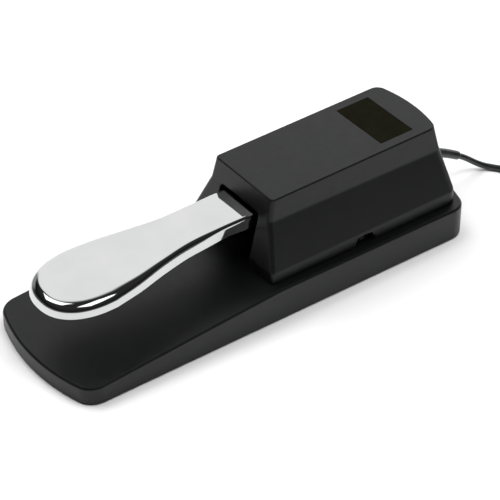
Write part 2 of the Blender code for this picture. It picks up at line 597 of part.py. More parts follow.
def bush(name, side, mat, pivot):
    """A flanged nylon bush in one end of the lever's barrel."""
    bore = AXLE_RADIUS + AXLE_CLEARANCE
    flange = BARREL_HALF_LENGTH + GAP
    outer = [(BUSH_INNER_X, BUSH_RADIUS), (flange, BUSH_RADIUS), (flange, BUSH_FLANGE_RADIUS),
             (EAR_INNER_X - GAP, BUSH_FLANGE_RADIUS)]  # fmt: skip
    bm = ring_solid(outer, bore, (0, PIVOT_Y, PIVOT_Z), side)
    add(name, bm, mat, smooth_angle=30, parent=pivot)


def ring_solid(outer, bore, place, side, count=BEARING_ROUND):
    """A turned ring about an axis along X: outer is (x, radius), bore is the hole's radius."""
    x, y, z = place
    profile = [*outer, (outer[-1][0], bore), (outer[0][0], bore)]
    return hoop([[(x + side * along, y + a, z + b) for a, b in circle(radius, count)]
                 for along, radius in profile])  # fmt: skip


def axle_clip(name, side, mat):
    """An open retaining clip in the axle's groove."""
    opening = math.radians(50)
    steps = 14
    inner_r, outer_r = GROOVE_RADIUS + GAP, CLIP_RADIUS
    arc = [opening / 2 + (2 * math.pi - opening) * i / steps - math.pi / 2 for i in range(steps + 1)]
    outline = [(outer_r * math.cos(a), outer_r * math.sin(a)) for a in arc]
    outline += [(inner_r * math.cos(a), inner_r * math.sin(a)) for a in reversed(arc)]
    rings = [[(x, PIVOT_Y + a, PIVOT_Z + b) for a, b in outline]
             for x in (side * CLIP_X, side * (CLIP_X + CLIP_THICKNESS))]  # fmt: skip
    add(name, loft(rings), mat)


# ---------------------------------------------------------------- spring and stops


def return_spring(mat):
    """A compression spring whose first and last turn lie flat."""
    per_turn = 10
    steps = int(SPRING_TURNS * per_turn)
    low, high = SPRING_LOW_Z + SPRING_WIRE, SPRING_HIGH_Z - SPRING_WIRE
    free = high - low - 4 * SPRING_WIRE
    points = []
    for i in range(steps + 1):
        turn = i / per_turn
        closed = min(turn, 1.0) + 1 - min(SPRING_TURNS - turn, 1.0)
        rise = min(max((turn - 1) / (SPRING_TURNS - 2), 0.0), 1.0)
        angle = 2 * math.pi * turn
        points.append((SPRING_RADIUS * math.cos(angle), SPRING_Y + SPRING_RADIUS * math.sin(angle),
                       low + 2 * SPRING_WIRE * closed + free * rise))  # fmt: skip
    tube("return_spring", points, SPRING_WIRE, mat, 1.0, resolution=1)


def spring_seat(mat):
    floor, shoulder = BASE_HEIGHT + GAP, SPRING_LOW_Z - GAP
    profile = ((BASE_HEIGHT - WALL - GAP, STEM_RADIUS), (floor, STEM_RADIUS), (floor, SEAT_RADIUS),
               (shoulder, SEAT_RADIUS), (shoulder, SPIGOT_RADIUS), (shoulder + 0.0036, SPIGOT_RADIUS),
               (shoulder + 0.0046, STEM_RADIUS))  # fmt: skip
    add("spring_seat", turned(profile, (0, SPRING_Y, 0)), mat, smooth_angle=30)


def spring_cap(mat, pivot):
    under, shoulder = LEVER_TOP_Z - LEVER_DEPTH - GAP, SPRING_HIGH_Z + GAP
    profile = ((shoulder - 0.0029, STEM_RADIUS), (shoulder - 0.0021, CAP_SPIGOT_RADIUS),
               (shoulder, CAP_SPIGOT_RADIUS), (shoulder, SEAT_RADIUS), (under, SEAT_RADIUS),
               (under, CAP_STEM_RADIUS), (CAP_STEM_Z, CAP_STEM_RADIUS))  # fmt: skip
    add("spring_cap", turned(profile, (0, SPRING_Y, 0)), mat, smooth_angle=30, parent=pivot)


def stops(felt, rubber):
    pad_half = STOP_RIB_HALF - 0.0010
    pad = box(-pad_half, pad_half, STOP_RIB_Y0 + GAP, STOP_RIB_Y1 - GAP, LEVER_TOP_Z + GAP, STOP_RIB_Z - GAP)
    add("upper_stop_pad", pad, felt)
    profile = ((BASE_HEIGHT - WALL - GAP, STEM_RADIUS), (BASE_HEIGHT + GAP, STEM_RADIUS),
               (BASE_HEIGHT + GAP, LOWER_STOP_RADIUS), (LOWER_STOP_TOP - 0.0010, LOWER_STOP_RADIUS),
               (LOWER_STOP_TOP, LOWER_STOP_RADIUS - 0.0010))  # fmt: skip
    add("lower_stop", turned(profile, (0, LOWER_STOP_Y, 0)), rubber, smooth_angle=30)


# ---------------------------------------------------------------- switches and wiring


def bolt_holes():
    """The holes through the microswitch and its angle bracket."""
    bm = bmesh.new()
    radius = SWITCH_SCREW_RADIUS + GAP
    for y in SWITCH_SCREW_YS:
        turned(((-0.01, radius), (0.01, radius)), (0, y, SWITCH_SCREW_Z), axis="X", count=HOLE_ROUND, bm=bm)
    return bm


def microswitch(case, metal, steel, white):
    block = box(-SWITCH_HALF, SWITCH_HALF, SWITCH_Y0, SWITCH_Y1, SWITCH_Z0, SWITCH_Z1)
    body = add("microswitch_body", block, case)
    well = cylinders(((0, PLUNGER_Y),), PLUNGER_RADIUS + GAP, WELL_Z, SWITCH_Z1 + GAP)
    boolean(body, add("cut_plunger_well", well))
    boolean(body, add("cut_switch_bolts", bolt_holes()))

    place = pivot_empty("plunger_origin", (0, PLUNGER_Y, SWITCH_Z1))
    profile = ((PLUNGER_Z0, PLUNGER_RADIUS), (PLUNGER_Z1 - 0.0006, PLUNGER_RADIUS),
               (PLUNGER_Z1, PLUNGER_RADIUS - 0.0006))  # fmt: skip
    pin = turned(profile, (0, PLUNGER_Y, 0), count=16)
    add("switch_plunger", pin, white, smooth_angle=40, parent=place)

    floor, inner = BASE_HEIGHT + GAP, SWITCH_HALF + GAP
    profile = [(inner, floor), (ANGLE_X, floor), (ANGLE_X, floor + ANGLE_STEEL),
               (inner + ANGLE_STEEL, floor + ANGLE_STEEL), (inner + ANGLE_STEEL, ANGLE_Z),
               (inner, ANGLE_Z)]  # fmt: skip
    folded = loft([[(x, y, z) for x, z in profile] for y in (ANGLE_Y0, ANGLE_Y1)])
    angle = add("switch_bracket", folded, steel)
    boolean(angle, add("cut_angle_bolts", bolt_holes()))
    boolean(angle, add("cut_angle_screw", cylinders((ANGLE_SCREW,), SMALL_PILOT_RADIUS, 0.015, 0.025)))
    head = SWITCH_HALF + GAP
    profile = ((-head - 0.0015, 0.0018), (-head, 0.0020), (-head, SWITCH_SCREW_RADIUS),
               (0.0060, SWITCH_SCREW_RADIUS))  # fmt: skip
    for number, y in enumerate(SWITCH_SCREW_YS, 1):
        bm = turned(profile, (0, y, SWITCH_SCREW_Z), axis="X", count=HOLE_ROUND)
        add(f"switch_screw_{number}", bm, steel, smooth_angle=30)
    small_screw("switch_bracket_screw", ANGLE_SCREW, floor + ANGLE_STEEL + GAP, steel)
    for name, y in zip(("common", "open", "closed"), TERMINAL_YS):
        blade = box(-TERMINAL_THICKNESS / 2, TERMINAL_THICKNESS / 2, y - TERMINAL_HALF, y + TERMINAL_HALF,
                    TERMINAL_Z, SWITCH_Z0 - GAP)  # fmt: skip
        add("switch_terminal_" + name, blade, metal)


def polarity_switch(case, white, green):
    floor = BASE_HEIGHT + GAP
    block = box(POLARITY_X0, POLARITY_X1, NOTCH_Y - POLARITY_HALF_LENGTH, NOTCH_Y + POLARITY_HALF_LENGTH,
                floor, POLARITY_Z1)  # fmt: skip
    body = add("polarity_switch_body", block, case)
    track = box(POLARITY_X1 - TRACK_DEPTH, POLARITY_X1 + 0.0070, NOTCH_Y - TRACK_HALF, NOTCH_Y + TRACK_HALF,
                TRACK_Z0, TRACK_Z1)  # fmt: skip
    boolean(body, add("cut_slider_track", track))
    rest_y = NOTCH_Y - POLARITY_TRAVEL / 2
    place = pivot_empty("slider_origin", (POLARITY_X1, rest_y, 0.0224))
    slider = box(POLARITY_X1 - SLIDER_DEPTH, SLIDER_TIP_X, rest_y - SLIDER_HALF, rest_y + SLIDER_HALF,
                 SLIDER_Z0, SLIDER_Z1)  # fmt: skip
    add("polarity_slider", slider, white, parent=place)
    add("circuit_board", box(BOARD_X0, BOARD_X1, BOARD_Y0, BOARD_Y1, floor, BOARD_Z1), green)


def leads(red, black):
    """Inner wires: two from the cord to the board, two from the board to the microswitch."""
    front = BOARD_X0 - GAP
    routes = (
        ("lead_signal", red, ((0.0008, 0.0962, 0.0258), (0.0060, 0.0960, 0.0262), (0.0130, 0.0957, 0.0262),
                              (0.0172, 0.0900, 0.0262), (0.0185, 0.0740, 0.0262), (0.0198, 0.0640, 0.0262),
                              (front - 0.0012, 0.0620, 0.0262), (front, 0.0620, 0.0262))),
        ("lead_ground", black, ((0.0008, 0.0962, 0.0240), (0.0060, 0.0964, 0.0232), (0.0150, 0.0960, 0.0232),
                                (0.0196, 0.0900, 0.0232), (0.0205, 0.0740, 0.0232), (0.0210, 0.0620, 0.0232),
                                (front - 0.0012, 0.0590, 0.0232), (front, 0.0590, 0.0232))),
        ("lead_switch_common", black, ((front, 0.0500, 0.0270), (front - 0.0012, 0.0500, 0.0270),
                                       (0.0190, 0.0475, 0.0262), (0.0120, 0.0455, 0.0250),
                                       (0.0040, 0.0455, 0.0242), (-0.0020, 0.0475, 0.0240),
                                       (-0.0022, 0.0515, 0.0240), (-0.0007, 0.0515, 0.0240))),
        ("lead_switch_open", red, ((front, 0.0530, 0.0240), (front - 0.0012, 0.0530, 0.0240),
                                   (0.0195, 0.0470, 0.0230), (0.0120, 0.0440, 0.0222),
                                   (0.0020, 0.0440, 0.0222), (-0.0050, 0.0480, 0.0230),
                                   (-0.0052, 0.0560, 0.0240), (-0.0024, 0.0584, 0.0240),
                                   (-0.0007, 0.0584, 0.0240))),
    )  # fmt: skip
    for name, mat, route in routes:
        tube(name, route, WIRE_RADIUS, mat, 0.0030, resolution=1)


# ---------------------------------------------------------------- screws


def screw(name, spot, head_z, tip_z, radius, head_radius, head_height, mat):
    """An upright screw whose head's bearing face is at head_z; it points up when tip_z is above head_z."""
    x, y = spot
    way = 1 if tip_z > head_z else -1
    profile = [(head_z - way * head_height, head_radius * 0.8),
               (head_z - way * head_height * 0.6, head_radius), (head_z, head_radius), (head_z, radius),
               (tip_z - way * radius, radius), (tip_z, radius * 0.3)]  # fmt: skip
    add(name, turned(profile, (x, y, 0), count=SCREW_ROUND), mat, smooth_angle=30)


def small_screw(name, spot, head_z, mat):
    """A small screw that points down into the base."""
    screw(name, spot, head_z, SMALL_TIP_Z, SMALL_SCREW_RADIUS, SMALL_HEAD_RADIUS, SMALL_HEAD_HEIGHT, mat)


def screws(steel):
    size = (SCREW_RADIUS, HEAD_RADIUS)
    for number, spot in enumerate(COVER_SCREWS, 1):
        screw(f"cover_screw_{number}", spot, COUNTERBORE_Z - GAP, COVER_SCREW_TIP_Z, *size, HEAD_HEIGHT,
              steel)  # fmt: skip
    for number, spot in enumerate(PLATE_SCREWS, 1):
        tip = base_top(spot[1]) - PLATE_TIP_SKIN
        screw(f"plate_screw_{number}", spot, PLATE_LOW - GAP, tip, *size, PLATE_HEAD_HEIGHT, steel)
    head_z = BASE_HEIGHT + 2 * GAP + SHEET_STEEL
    for number, spot in enumerate(BRACKET_SCREWS, 1):
        screw(f"bracket_screw_{number}", spot, head_z, BRACKET_SCREW_TIP_Z, *size, HEAD_HEIGHT, steel)


# ---------------------------------------------------------------- lead


def strain_relief(mat):
    """A moulded relief: a flange inside the wall, a neck through it, a collar and a slim curved sleeve."""
    line = smooth_line(RELIEF_ROUTE, 0.0024)
    radii = []
    rear_wall = COVER_LEVELS[0][2] + COVER_BOW
    for p in line:
        if p.y < rear_wall - WALL - GAP:
            radii.append(FLANGE_RADIUS)
        elif p.y < rear_wall + GAP:
            radii.append(NECK_RADIUS)
        else:
            first, last = SLEEVE_RADII
            radii.append(first + (last - first) * (p.y - rear_wall) / (line[-1].y - rear_wall))
    add("strain_relief", swept(line, radii), mat, smooth_angle=40)


def cord_pieces(rubber, clamp, steel, strap):
    inner = ((0, 0.1137, CORD_INNER_Z), (0, 0.1050, CORD_INNER_Z), (0, 0.0972, CORD_INNER_Z))
    tube("inner_cord", inner, CORD_RADIUS, rubber, 0.0080)
    bar = add("cord_clamp", box(-SADDLE_X, SADDLE_X, CLAMP_Y0, CLAMP_Y1, CLAMP_Z0, CLAMP_Z1), clamp)
    clear = CORD_RADIUS + GAP
    groove = turned(((0.09, clear), (0.12, clear)), (0, 0, CORD_INNER_Z), axis="Y")
    boolean(bar, add("cut_clamp_groove", groove))
    boolean(bar, add("cut_clamp_floor", box(-clear, clear, 0.09, 0.12, 0.02, CORD_INNER_Z)))
    boolean(bar, add("cut_clamp_screws", cylinders(CLAMP_SCREWS, SMALL_PILOT_RADIUS, 0.02, 0.03)))
    for number, spot in enumerate(CLAMP_SCREWS, 1):
        small_screw(f"clamp_screw_{number}", spot, CLAMP_Z1 + GAP, steel)

    tube("cable", offset_start(CORD_ROUTE), CORD_RADIUS, rubber, 0.0078)
    half_width = CORD_DIAMETER * TURNS_WIDE / 2
    height = CORD_DIAMETER * TURNS_HIGH
    profile = rounded_rectangle(half_width, height, CORD_RADIUS)
    rings = []
    for across, along in circle(1.0, 28):
        rings.append([(COIL_X + (COIL_RADIUS + r) * across, COIL_Y + (COIL_RADIUS + r) * along,
                       COIL_LOW_Z + z) for r, z in profile])  # fmt: skip
    add("cable_coil", hoop(rings), rubber, smooth_angle=40)
    tube("cable_tail", TAIL_ROUTE, CORD_RADIUS, rubber, 0.0078)
    cord_tie(strap, half_width, height)


def rounded_rectangle(half_width, height, corner):
    """A closed outline about the middle of its lower side, as (across, up)."""
    points = []
    for side_x, side_z, start in ((1, 0, -90), (1, 1, 0), (-1, 1, 90), (-1, 0, 180)):
        cx = side_x * (half_width - corner)
        cz = height - corner if side_z else corner
        for i in range(3):
            a = math.radians(start + 45 * i)
            points.append((cx + corner * math.cos(a), cz + corner * math.sin(a)))
    return points


def offset_start(route):
    """The route with its first point a gap along it."""
    first, second = Vector(route[0]), Vector(route[1])
    return [first + (second - first).normalized() * GAP, *route[1:]]


def cord_tie(mat, half_width, height):
    """A strap around the coil's bundle, on the side away from the pedal."""
    along = Vector((-math.sin(TIE_ANGLE), math.cos(TIE_ANGLE), 0))
    across = Vector((math.cos(TIE_ANGLE), math.sin(TIE_ANGLE), 0))
    centre = Vector((COIL_X, COIL_Y, 0)) + across * COIL_RADIUS
    inside, outside = GAP, GAP + TIE_THICKNESS
    rings = []
    for side, grow in ((-0.5, inside), (-0.5, outside), (0.5, outside), (0.5, inside)):
        outline = rounded_rectangle(half_width + grow, height + 2 * grow, CORD_RADIUS + grow)
        rings.append([centre + along * side * TIE_WIDTH + across * r + Vector((0, 0, COIL_LOW_Z - grow + z))
                      for r, z in outline])  # fmt: skip
    add("cord_tie", hoop(rings), mat)


def plug(rubber, chrome, black):
    """A quarter inch mono jack plug lying on the floor, pointing to -Y."""
    handle = [(-GAP, 0.0024), (-0.0060, 0.0027), (-0.0110, 0.0032), (-0.0125, 0.0048), (-0.0150, 0.0054),
              (-0.0330, 0.0054), (-0.0350, 0.0048)]  # fmt: skip
    add("plug_handle", turned(handle, PLUG_PLACE, axis="Y"), rubber, smooth_angle=30)
    pin = PIN_RADIUS
    sleeve = [(-0.0353, 0.0044), (-0.0369, 0.0044), (-0.0369, pin), (-0.0570, pin)]
    add("plug_sleeve", turned(sleeve, PLUG_PLACE, axis="Y"), chrome, smooth_angle=30)
    ring = [(-0.0573, pin - 0.0001), (-0.0582, pin - 0.0001)]
    add("plug_insulator", turned(ring, PLUG_PLACE, axis="Y"), black, smooth_angle=30)
    tip = [(-0.0585, pin), (-0.0600, pin), (-0.0618, 0.0020), (-0.0628, 0.0022), (-0.0640, 0.0029),
           (-0.0655, 0.0026), (-0.0672, 0.0012), (-0.0676, 0.0005)]  # fmt: skip
    add("plug_tip", turned(tip, PLUG_PLACE, axis="Y"), chrome, smooth_angle=40)


# ---------------------------------------------------------------- assembly


def main():
    for obj in list(bpy.data.objects):
        bpy.data.objects.remove(obj, do_unlink=True)
    body_plastic = material("satin_black_plastic", (0.018, 0.018, 0.019), 0.42)
    label = material("label_black", (0.008, 0.008, 0.005), 0.5)
    chrome = material("chrome_plate", (0.86, 0.87, 0.88), 0.06, metallic=1.0)
    steel = material("zinc_steel", (0.55, 0.56, 0.58), 0.35, metallic=1.0)
    brass = material("brass_contact", (0.72, 0.55, 0.26), 0.3, metallic=1.0)
    rubber = material("black_rubber", (0.016, 0.016, 0.016), 0.75)
    felt = material("grey_felt", (0.16, 0.16, 0.16), 0.95)
    nylon = material("white_nylon", (0.75, 0.74, 0.70), 0.45)
    case = material("switch_case", (0.02, 0.02, 0.022), 0.35)
    green = material("board_green", (0.02, 0.12, 0.05), 0.4)
    red = material("wire_red", (0.45, 0.02, 0.02), 0.45)
    cord = material("cord_pvc", (0.012, 0.014, 0.013), 0.38)

    base_shell(body_plastic)
    under_sheet("bottom_plate", steel, PLATE_INSET, PLATE_LOW, PLATE_HIGH, (0.0040, 0.0018))
    under_sheet("rubber_mat", rubber, MAT_INSET, 0.0, MAT_THICKNESS, (0.0046, 0.0040))
    housing_cover(body_plastic)
    add("name_plate", roof_slab(0.0, PLATE_DEPTH, PLATE_PROUD), label)
    hinge = pivot_empty("pedal_hinge", (0, PIVOT_Y, PIVOT_Z))
    pedal_lever(chrome, hinge)
    bush("bush_left", -1, nylon, hinge)
    bush("bush_right", 1, nylon, hinge)
    spring_cap(nylon, hinge)
    pivot_bracket(steel)
    pivot_axle(steel)
    axle_clip("axle_clip_left", -1, steel)
    axle_clip("axle_clip_right", 1, steel)
    spring_seat(nylon)
    return_spring(steel)
    stops(felt, rubber)
    microswitch(case, brass, steel, nylon)
    polarity_switch(case, nylon, green)
    leads(red, rubber)
    screws(steel)
    strain_relief(cord)
    cord_pieces(cord, case, steel, rubber)
    plug(rubber, chrome, case)


main()
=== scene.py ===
"""Looks of the sustain pedal: satin black mouldings, a chromed lever, its lead and jack plug.

Metres, +Z up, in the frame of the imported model: the lever's tip points to -Y and +X is the side with
the polarity switch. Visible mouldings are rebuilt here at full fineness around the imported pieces.
"""

import json
import math

import bmesh
import bpy
from mathutils import Matrix, Vector


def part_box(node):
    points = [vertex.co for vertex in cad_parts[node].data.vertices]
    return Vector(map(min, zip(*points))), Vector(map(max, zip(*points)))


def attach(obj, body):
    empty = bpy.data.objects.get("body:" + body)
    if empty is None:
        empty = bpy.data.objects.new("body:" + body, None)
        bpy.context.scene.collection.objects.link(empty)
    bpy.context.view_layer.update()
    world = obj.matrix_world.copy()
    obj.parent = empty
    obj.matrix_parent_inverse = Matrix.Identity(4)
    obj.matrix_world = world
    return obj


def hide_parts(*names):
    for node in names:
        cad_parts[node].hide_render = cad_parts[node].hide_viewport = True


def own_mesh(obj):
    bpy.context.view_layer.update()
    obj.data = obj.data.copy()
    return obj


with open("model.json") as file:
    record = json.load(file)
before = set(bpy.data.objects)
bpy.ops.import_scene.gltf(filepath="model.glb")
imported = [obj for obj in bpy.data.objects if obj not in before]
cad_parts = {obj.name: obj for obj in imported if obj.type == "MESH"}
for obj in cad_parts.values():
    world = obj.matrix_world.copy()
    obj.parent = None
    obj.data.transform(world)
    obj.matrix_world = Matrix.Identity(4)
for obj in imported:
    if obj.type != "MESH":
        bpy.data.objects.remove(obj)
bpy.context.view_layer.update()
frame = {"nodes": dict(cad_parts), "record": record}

GAP = 0.0003  # between pieces that touch
WALL = 0.0025  # moulded walls

# Camera: a long lens above the switch's side, ahead of the lever
CAMERA_AZIMUTH, CAMERA_ELEVATION = math.radians(53.80), math.radians(37.62)
CAMERA_DISTANCE, CAMERA_LENS = 1.1269, 156.57
CAMERA_AIM = Vector((0.00864, 0.00136, 0.0220))

# Light: brightness, headings in degrees round from +X towards +Y, and sines of elevation
BACKDROP_LIGHT, SIDE_LIGHT, LOW_LIGHT, CEILING_LIGHT = 1.15, 0.34, 0.12, 0.03
ROOM_LIGHT, PLAIN_LIGHT = 0.008, 0.90
BACKDROP_LEFT, BACKDROP_RIGHT, SIDE_END = 173.0, 78.0, 198.0
LOW_TOP, SIDE_TOP, BACKDROP_TOP, CEILING_EDGE = (0.15, 0.42), (0.36, 0.50), (0.740, 0.900), (0.45, 0.80)
FILL_SIZE, FILL_WATTS, FILL_PLACES = 1.20, 19, ((-0.70, -0.30, 1.50), (0.60, 0.50, 1.50))
NOSE_PLACE = Vector((0.010, -0.108, 0.043))
STRIP_DISTANCE, STRIP_POWER = 1.2, 7  # metres from the nose, and watts for a square metre
STRIPS = (((-0.50, -0.14, 0.86), 0.40, 0.52), ((0.16, 0.10, 0.97), 0.62, 0.42))  # direction, width, height

# Base moulding
BASE_LOW, BASE_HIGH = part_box("base_shell")
BASE_HALF_LENGTH, BASE_HALF_WIDTH = BASE_HIGH[1], BASE_HIGH[0]
BASE_FRONT_HEIGHT, BASE_HEIGHT, BASE_KINK_Y = 0.0099, 0.0194, -0.0042
BASE_BOW, BASE_CORNER, BASE_EDGE = 0.0083, 0.011, 0.0014
BASE_RIM_Z = BASE_LOW[2]
RIB_Z, RIB_THICKNESS, RIB_XS, RIB_PITCH = 0.0033, 0.0016, (-0.0215, 0.0, 0.0215), 0.0260
FOOT_EDGE, SADDLE_EDGE = 0.0006, 0.0003  # rounding
SADDLE_HALF, SADDLE_Y0, SADDLE_Y1, SADDLE_TOP_Z = 0.0110, 0.0995, 0.1065, 0.0236  # under the inner cord
MAT_INSET, MAT_THICKNESS, MAT_EDGE, MAT_BORDER_END, MAT_BORDER_SIDE = 0.0034, 0.0015, 0.0002, 0.012, 0.0075
GROOVE_PITCH, GROOVE_DEPTH, GROOVE_MOUTH, GROOVE_FLOOR = 0.0030, 0.0005, 0.0009, 0.0005  # then half widths

# Housing cover: half width, front y, side's rear y, z at the front and z at the rear, from the bottom up
COVER_BOTTOM_Z = BASE_HEIGHT + GAP
COVER_LEVELS = (
    (0.0368, -0.0054, 0.1178, COVER_BOTTOM_Z, COVER_BOTTOM_Z),
    (0.0363, -0.0051, 0.1177, 0.0252, 0.0266),
    (0.0259, 0.0009, 0.1142, 0.0500, 0.0493),
    (0.0249, 0.0032, 0.1109, 0.0619, 0.0638),
)
COVER_BOW, COVER_FRONT_CORNER, COVER_REAR_CORNER = 0.0039, 0.0026, 0.0060
COVER_EDGE, CREASE_REACH = 0.0009, 0.0009
LEAST_CORNER, LEAST_BOW = 0.0006, 0.00001  # of the hollow's corners, and of a wall that is all but flat
SLOT_HALF_WIDTH, SLOT_TOP_Z, SLOT_CORNER, SLOT_CHAMFER = 0.0165, 0.0505, 0.0030, 0.0004
NOTCH_Y, NOTCH_HALF, NOTCH_TOP_Z = 0.0555, 0.0050, 0.0245
SCOOP_X, SCOOP_RADII = 0.0385, (0.0034, 0.0085, 0.0072)
PLATE_X, PLATE_Y0, PLATE_Y1, PLATE_DEPTH = 0.0187, 0.0785, 0.0995, 0.0008
PLATE_MARGIN, PLATE_PROUD, PLATE_EDGE = 0.0002, 0.0001, 0.00008
STOP_RIB_Y0, STOP_RIB_Y1, STOP_RIB_HALF, STOP_RIB_Z = 0.0085, 0.0155, 0.0090, 0.0525
LOWER_STOP_Y, STEM_HOLE = 0.0380, 0.0033  # a hole's radius, for the stems of the stop and the spring seat

# Lever
NOSE_Y, NOSE_LENGTH, NOSE_HALF_WIDTH, NOSE_POWER = -0.0900, 0.0300, 0.0233, 2.3
WAIST = ((-0.0900, 0.0233), (-0.0750, 0.0212), (-0.0600, 0.0178), (-0.0450, 0.0150),
         (-0.0330, 0.0139), (-0.0200, 0.0136), (0.0050, 0.0136), (0.0140, 0.0100))
ARM_HALF_WIDTH, ARM_END_Y, ARM_END_BOW = 0.0100, 0.0850, 0.0003
LEVER_TOP_Z, LEVER_RISE, LEVER_ARCH = 0.0488, 0.0139, 0.258
LEVER_DEPTHS, LEVER_SKIN = (0.0068, 0.0082), 0.0026  # ahead of the housing and inside it
LEVER_FLARE = 0.0017  # by which the bottom stands out past the top, ahead of the housing
POCKET_WALL, SPINE, POCKET_REACH = 0.0034, 0.0020, 0.0150  # round the pockets underneath, and between them
LEVER_RIBS = (-0.1150, -0.0960, -0.0730, -0.0500, -0.0270, -0.0040)
CROWN_RADIUS = 0.90  # of the top, across the lever
NOSE_RIM, WAIST_RIM, ARM_RIM = (0.0055, 0.0033), (0.0023, 0.0029), (0.0019, 0.0018)  # its reach and drop
RIM_POWER = 2.2
LEVER_FOOT, BARREL_EDGE = 0.0007, 0.0004  # rounding
PIVOT_Y, PIVOT_Z = 0.0820, 0.0445
BARREL_RADIUS, BARREL_HALF_LENGTH, BARREL_BORE = 0.0065, 0.0110, 0.0043
SPRING_Y, SPRING_RADIUS, SPRING_WIRE, SPRING_TURNS = 0.0220, 0.0055, 0.00075, 7.5
SPRING_LOW_Z, SPRING_HIGH_Z = 0.0215, 0.0388
CAP_HOLE, CAP_HOLE_TOP_Z = 0.0028, 0.0450

# Screws
COVER_SCREWS = ((-0.0295, 0.012), (0.0295, 0.012), (-0.0295, 0.104), (0.0295, 0.104))
PLATE_SCREWS = ((-0.028, -0.094), (0.028, -0.094), (-0.030, 0.058), (0.030, 0.058))
BRACKET_SCREWS = ((0.0, 0.0745), (0.0, 0.0895))
SMALL_SCREWS, SMALL_PILOT = ((-0.0078, 0.103), (0.0078, 0.103), (0.0112, 0.0584)), 0.0015
BOSS_RADIUS, PILOT_RADIUS, COUNTERBORE_RADIUS, COUNTERBORE_Z = 0.0050, 0.0018, 0.0036, 0.0100
COVER_PILOT_Z, PLATE_SCREW_COVER = 0.0330, 0.0019
MAT_COVER_HOLE, MAT_PLATE_HOLE = 0.0046, 0.0040
HEAD_HEIGHT_COVER, HEAD_HEIGHT_PLATE = 0.0018, 0.0012
SHANK, ROOT, THREAD_PITCH = 0.0015, 0.78, 0.0006  # the thread's root is a share of the shank's radius

# Lead: the stretches that aren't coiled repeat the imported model's route
CORD_DIAMETER = 0.0035
CORD_RADIUS = CORD_DIAMETER / 2
CORD_INNER_Z = 0.02565
RELIEF_FLANGE, RELIEF_EDGE, RELIEF_NECK, RELIEF_SLEEVE, RELIEF_HOLE = 0.0045, 0.0004, 0.0026, 0.0028, 0.0031
RELIEF_ROUTE = ((0, 0.1140, CORD_INNER_Z), (0, 0.1215, CORD_INNER_Z), (0, 0.1290, 0.0253),
                (0, 0.1370, 0.0224), (0, 0.1440, 0.0188), (0, 0.1507, 0.0149))
CORD_ROUTE = ((0, 0.1510, 0.0147), (0.0001, 0.1552, 0.0118), (0.0004, 0.1597, 0.0083),
              (0.0014, 0.1640, 0.0050), (0.0034, 0.1681, 0.0027), (0.0064, 0.1714, 0.0020),
              (0.0110, 0.1747, 0.0020), (0.0178, 0.1781, 0.0021), (0.0244, 0.1813, 0.0023))
COIL_X, COIL_Y, COIL_RADIUS = 0.0270, 0.2100, 0.0210
TURNS_WIDE, TURNS_HIGH = 3, 4
COIL_LOW_Z = 0.0010
COIL_ENTRY = -63.6  # degrees round the coil, where the cord joins it
COIL_SHIFT = 35.0  # degrees in which a turn moves over by one diameter
COIL_STEP = 22.5  # degrees between the points of a turn
TAIL_ROUTE = ((0.0517, 0.2254, 0.0119), (0.0529, 0.2324, 0.0104), (0.0566, 0.2373, 0.0091),
              (0.0621, 0.2390, 0.0080), (0.0676, 0.2373, 0.0070), (0.0713, 0.2324, 0.0062),
              (0.0724, 0.2265, 0.0057), (0.0725, 0.2210, 0.0056))
PLUG_PLACE = (0.0725, 0.2207, 0.0056)
GRIP_RADIUS, GRIP_GROOVE, PIN_RADIUS, POINT = 0.0054, 0.0049, 0.003175, 0.0001
TIE_ANGLE, TIE_THICKNESS, TIE_WIDTH = math.radians(100), 0.0006, 0.0040

FINE, MEDIUM = 64, 32  # segments of a full circle on large and on small turned pieces


# ---------------------------------------------------------------- mesh helpers


def ring(bm, points):
    return [bm.verts.new(p) for p in points]


def bridge(bm, first, second):
    """Quads between two closed loops of equal length."""
    count = len(first)
    for i in range(count):
        j = (i + 1) % count
        bm.faces.new((first[i], first[j], second[j], second[i]))


def ladder(bm, loop):
    """Closes a mirrored loop with faces that join each point to its mirror image."""
    count = len(loop)
    for i in range(count // 2):
        corners = (loop[i], loop[i + 1], loop[(count - i - 1) % count], loop[(count - i) % count])
        bm.faces.new(tuple(dict.fromkeys(corners)))


def loft(rings, bm=None, laddered=False):
    """Skin over closed rings of points, with both ends closed."""
    bm = bm or bmesh.new()
    loops = [ring(bm, points) for points in rings]
    for low, high in zip(loops, loops[1:]):
        bridge(bm, low, high)
    for loop in (loops[0], loops[-1]):
        if laddered:
            ladder(bm, loop)
        else:
            bm.faces.new(loop)
    return bm


def hoop(loops_of_points, bm=None):
    """Skin over loops that follow each other in a circle, such as a ring or a bored turning."""
    bm = bm or bmesh.new()
    loops = [ring(bm, points) for points in loops_of_points]
    for first, second in zip(loops, loops[1:] + loops[:1]):
        bridge(bm, first, second)
    return bm


def box(x0, x1, y0, y1, z0, z1, bm=None):
    outline = ((x0, y0), (x1, y0), (x1, y1), (x0, y1))
    return loft([[(x, y, z) for x, y in outline] for z in (z0, z1)], bm)


def circle(radius, count):
    return [(radius * math.cos(2 * math.pi * i / count), radius * math.sin(2 * math.pi * i / count))
            for i in range(count)]


def turned_rings(profile, place, axis, count):
    x, y, z = place
    rings = []
    for along, radius in profile:
        if axis == "Z":
            rings.append([(x + a, y + b, z + along) for a, b in circle(radius, count)])
        elif axis == "X":
            rings.append([(x + along, y + a, z + b) for a, b in circle(radius, count)])
        else:
            rings.append([(x + b, y + along, z + a) for a, b in circle(radius, count)])
    return rings


def turned(profile, place, axis="Z", count=MEDIUM, bm=None):
    """A solid turned about an axis through place; profile is (distance along the axis, radius)."""
    return loft(turned_rings(profile, place, axis, count), bm)


def cylinders(spots, radius, z0, z1, count=MEDIUM):
    bm = bmesh.new()
    for x, y in spots:
        turned(((z0, radius), (z1, radius)), (x, y, 0), count=count, bm=bm)
    return bm


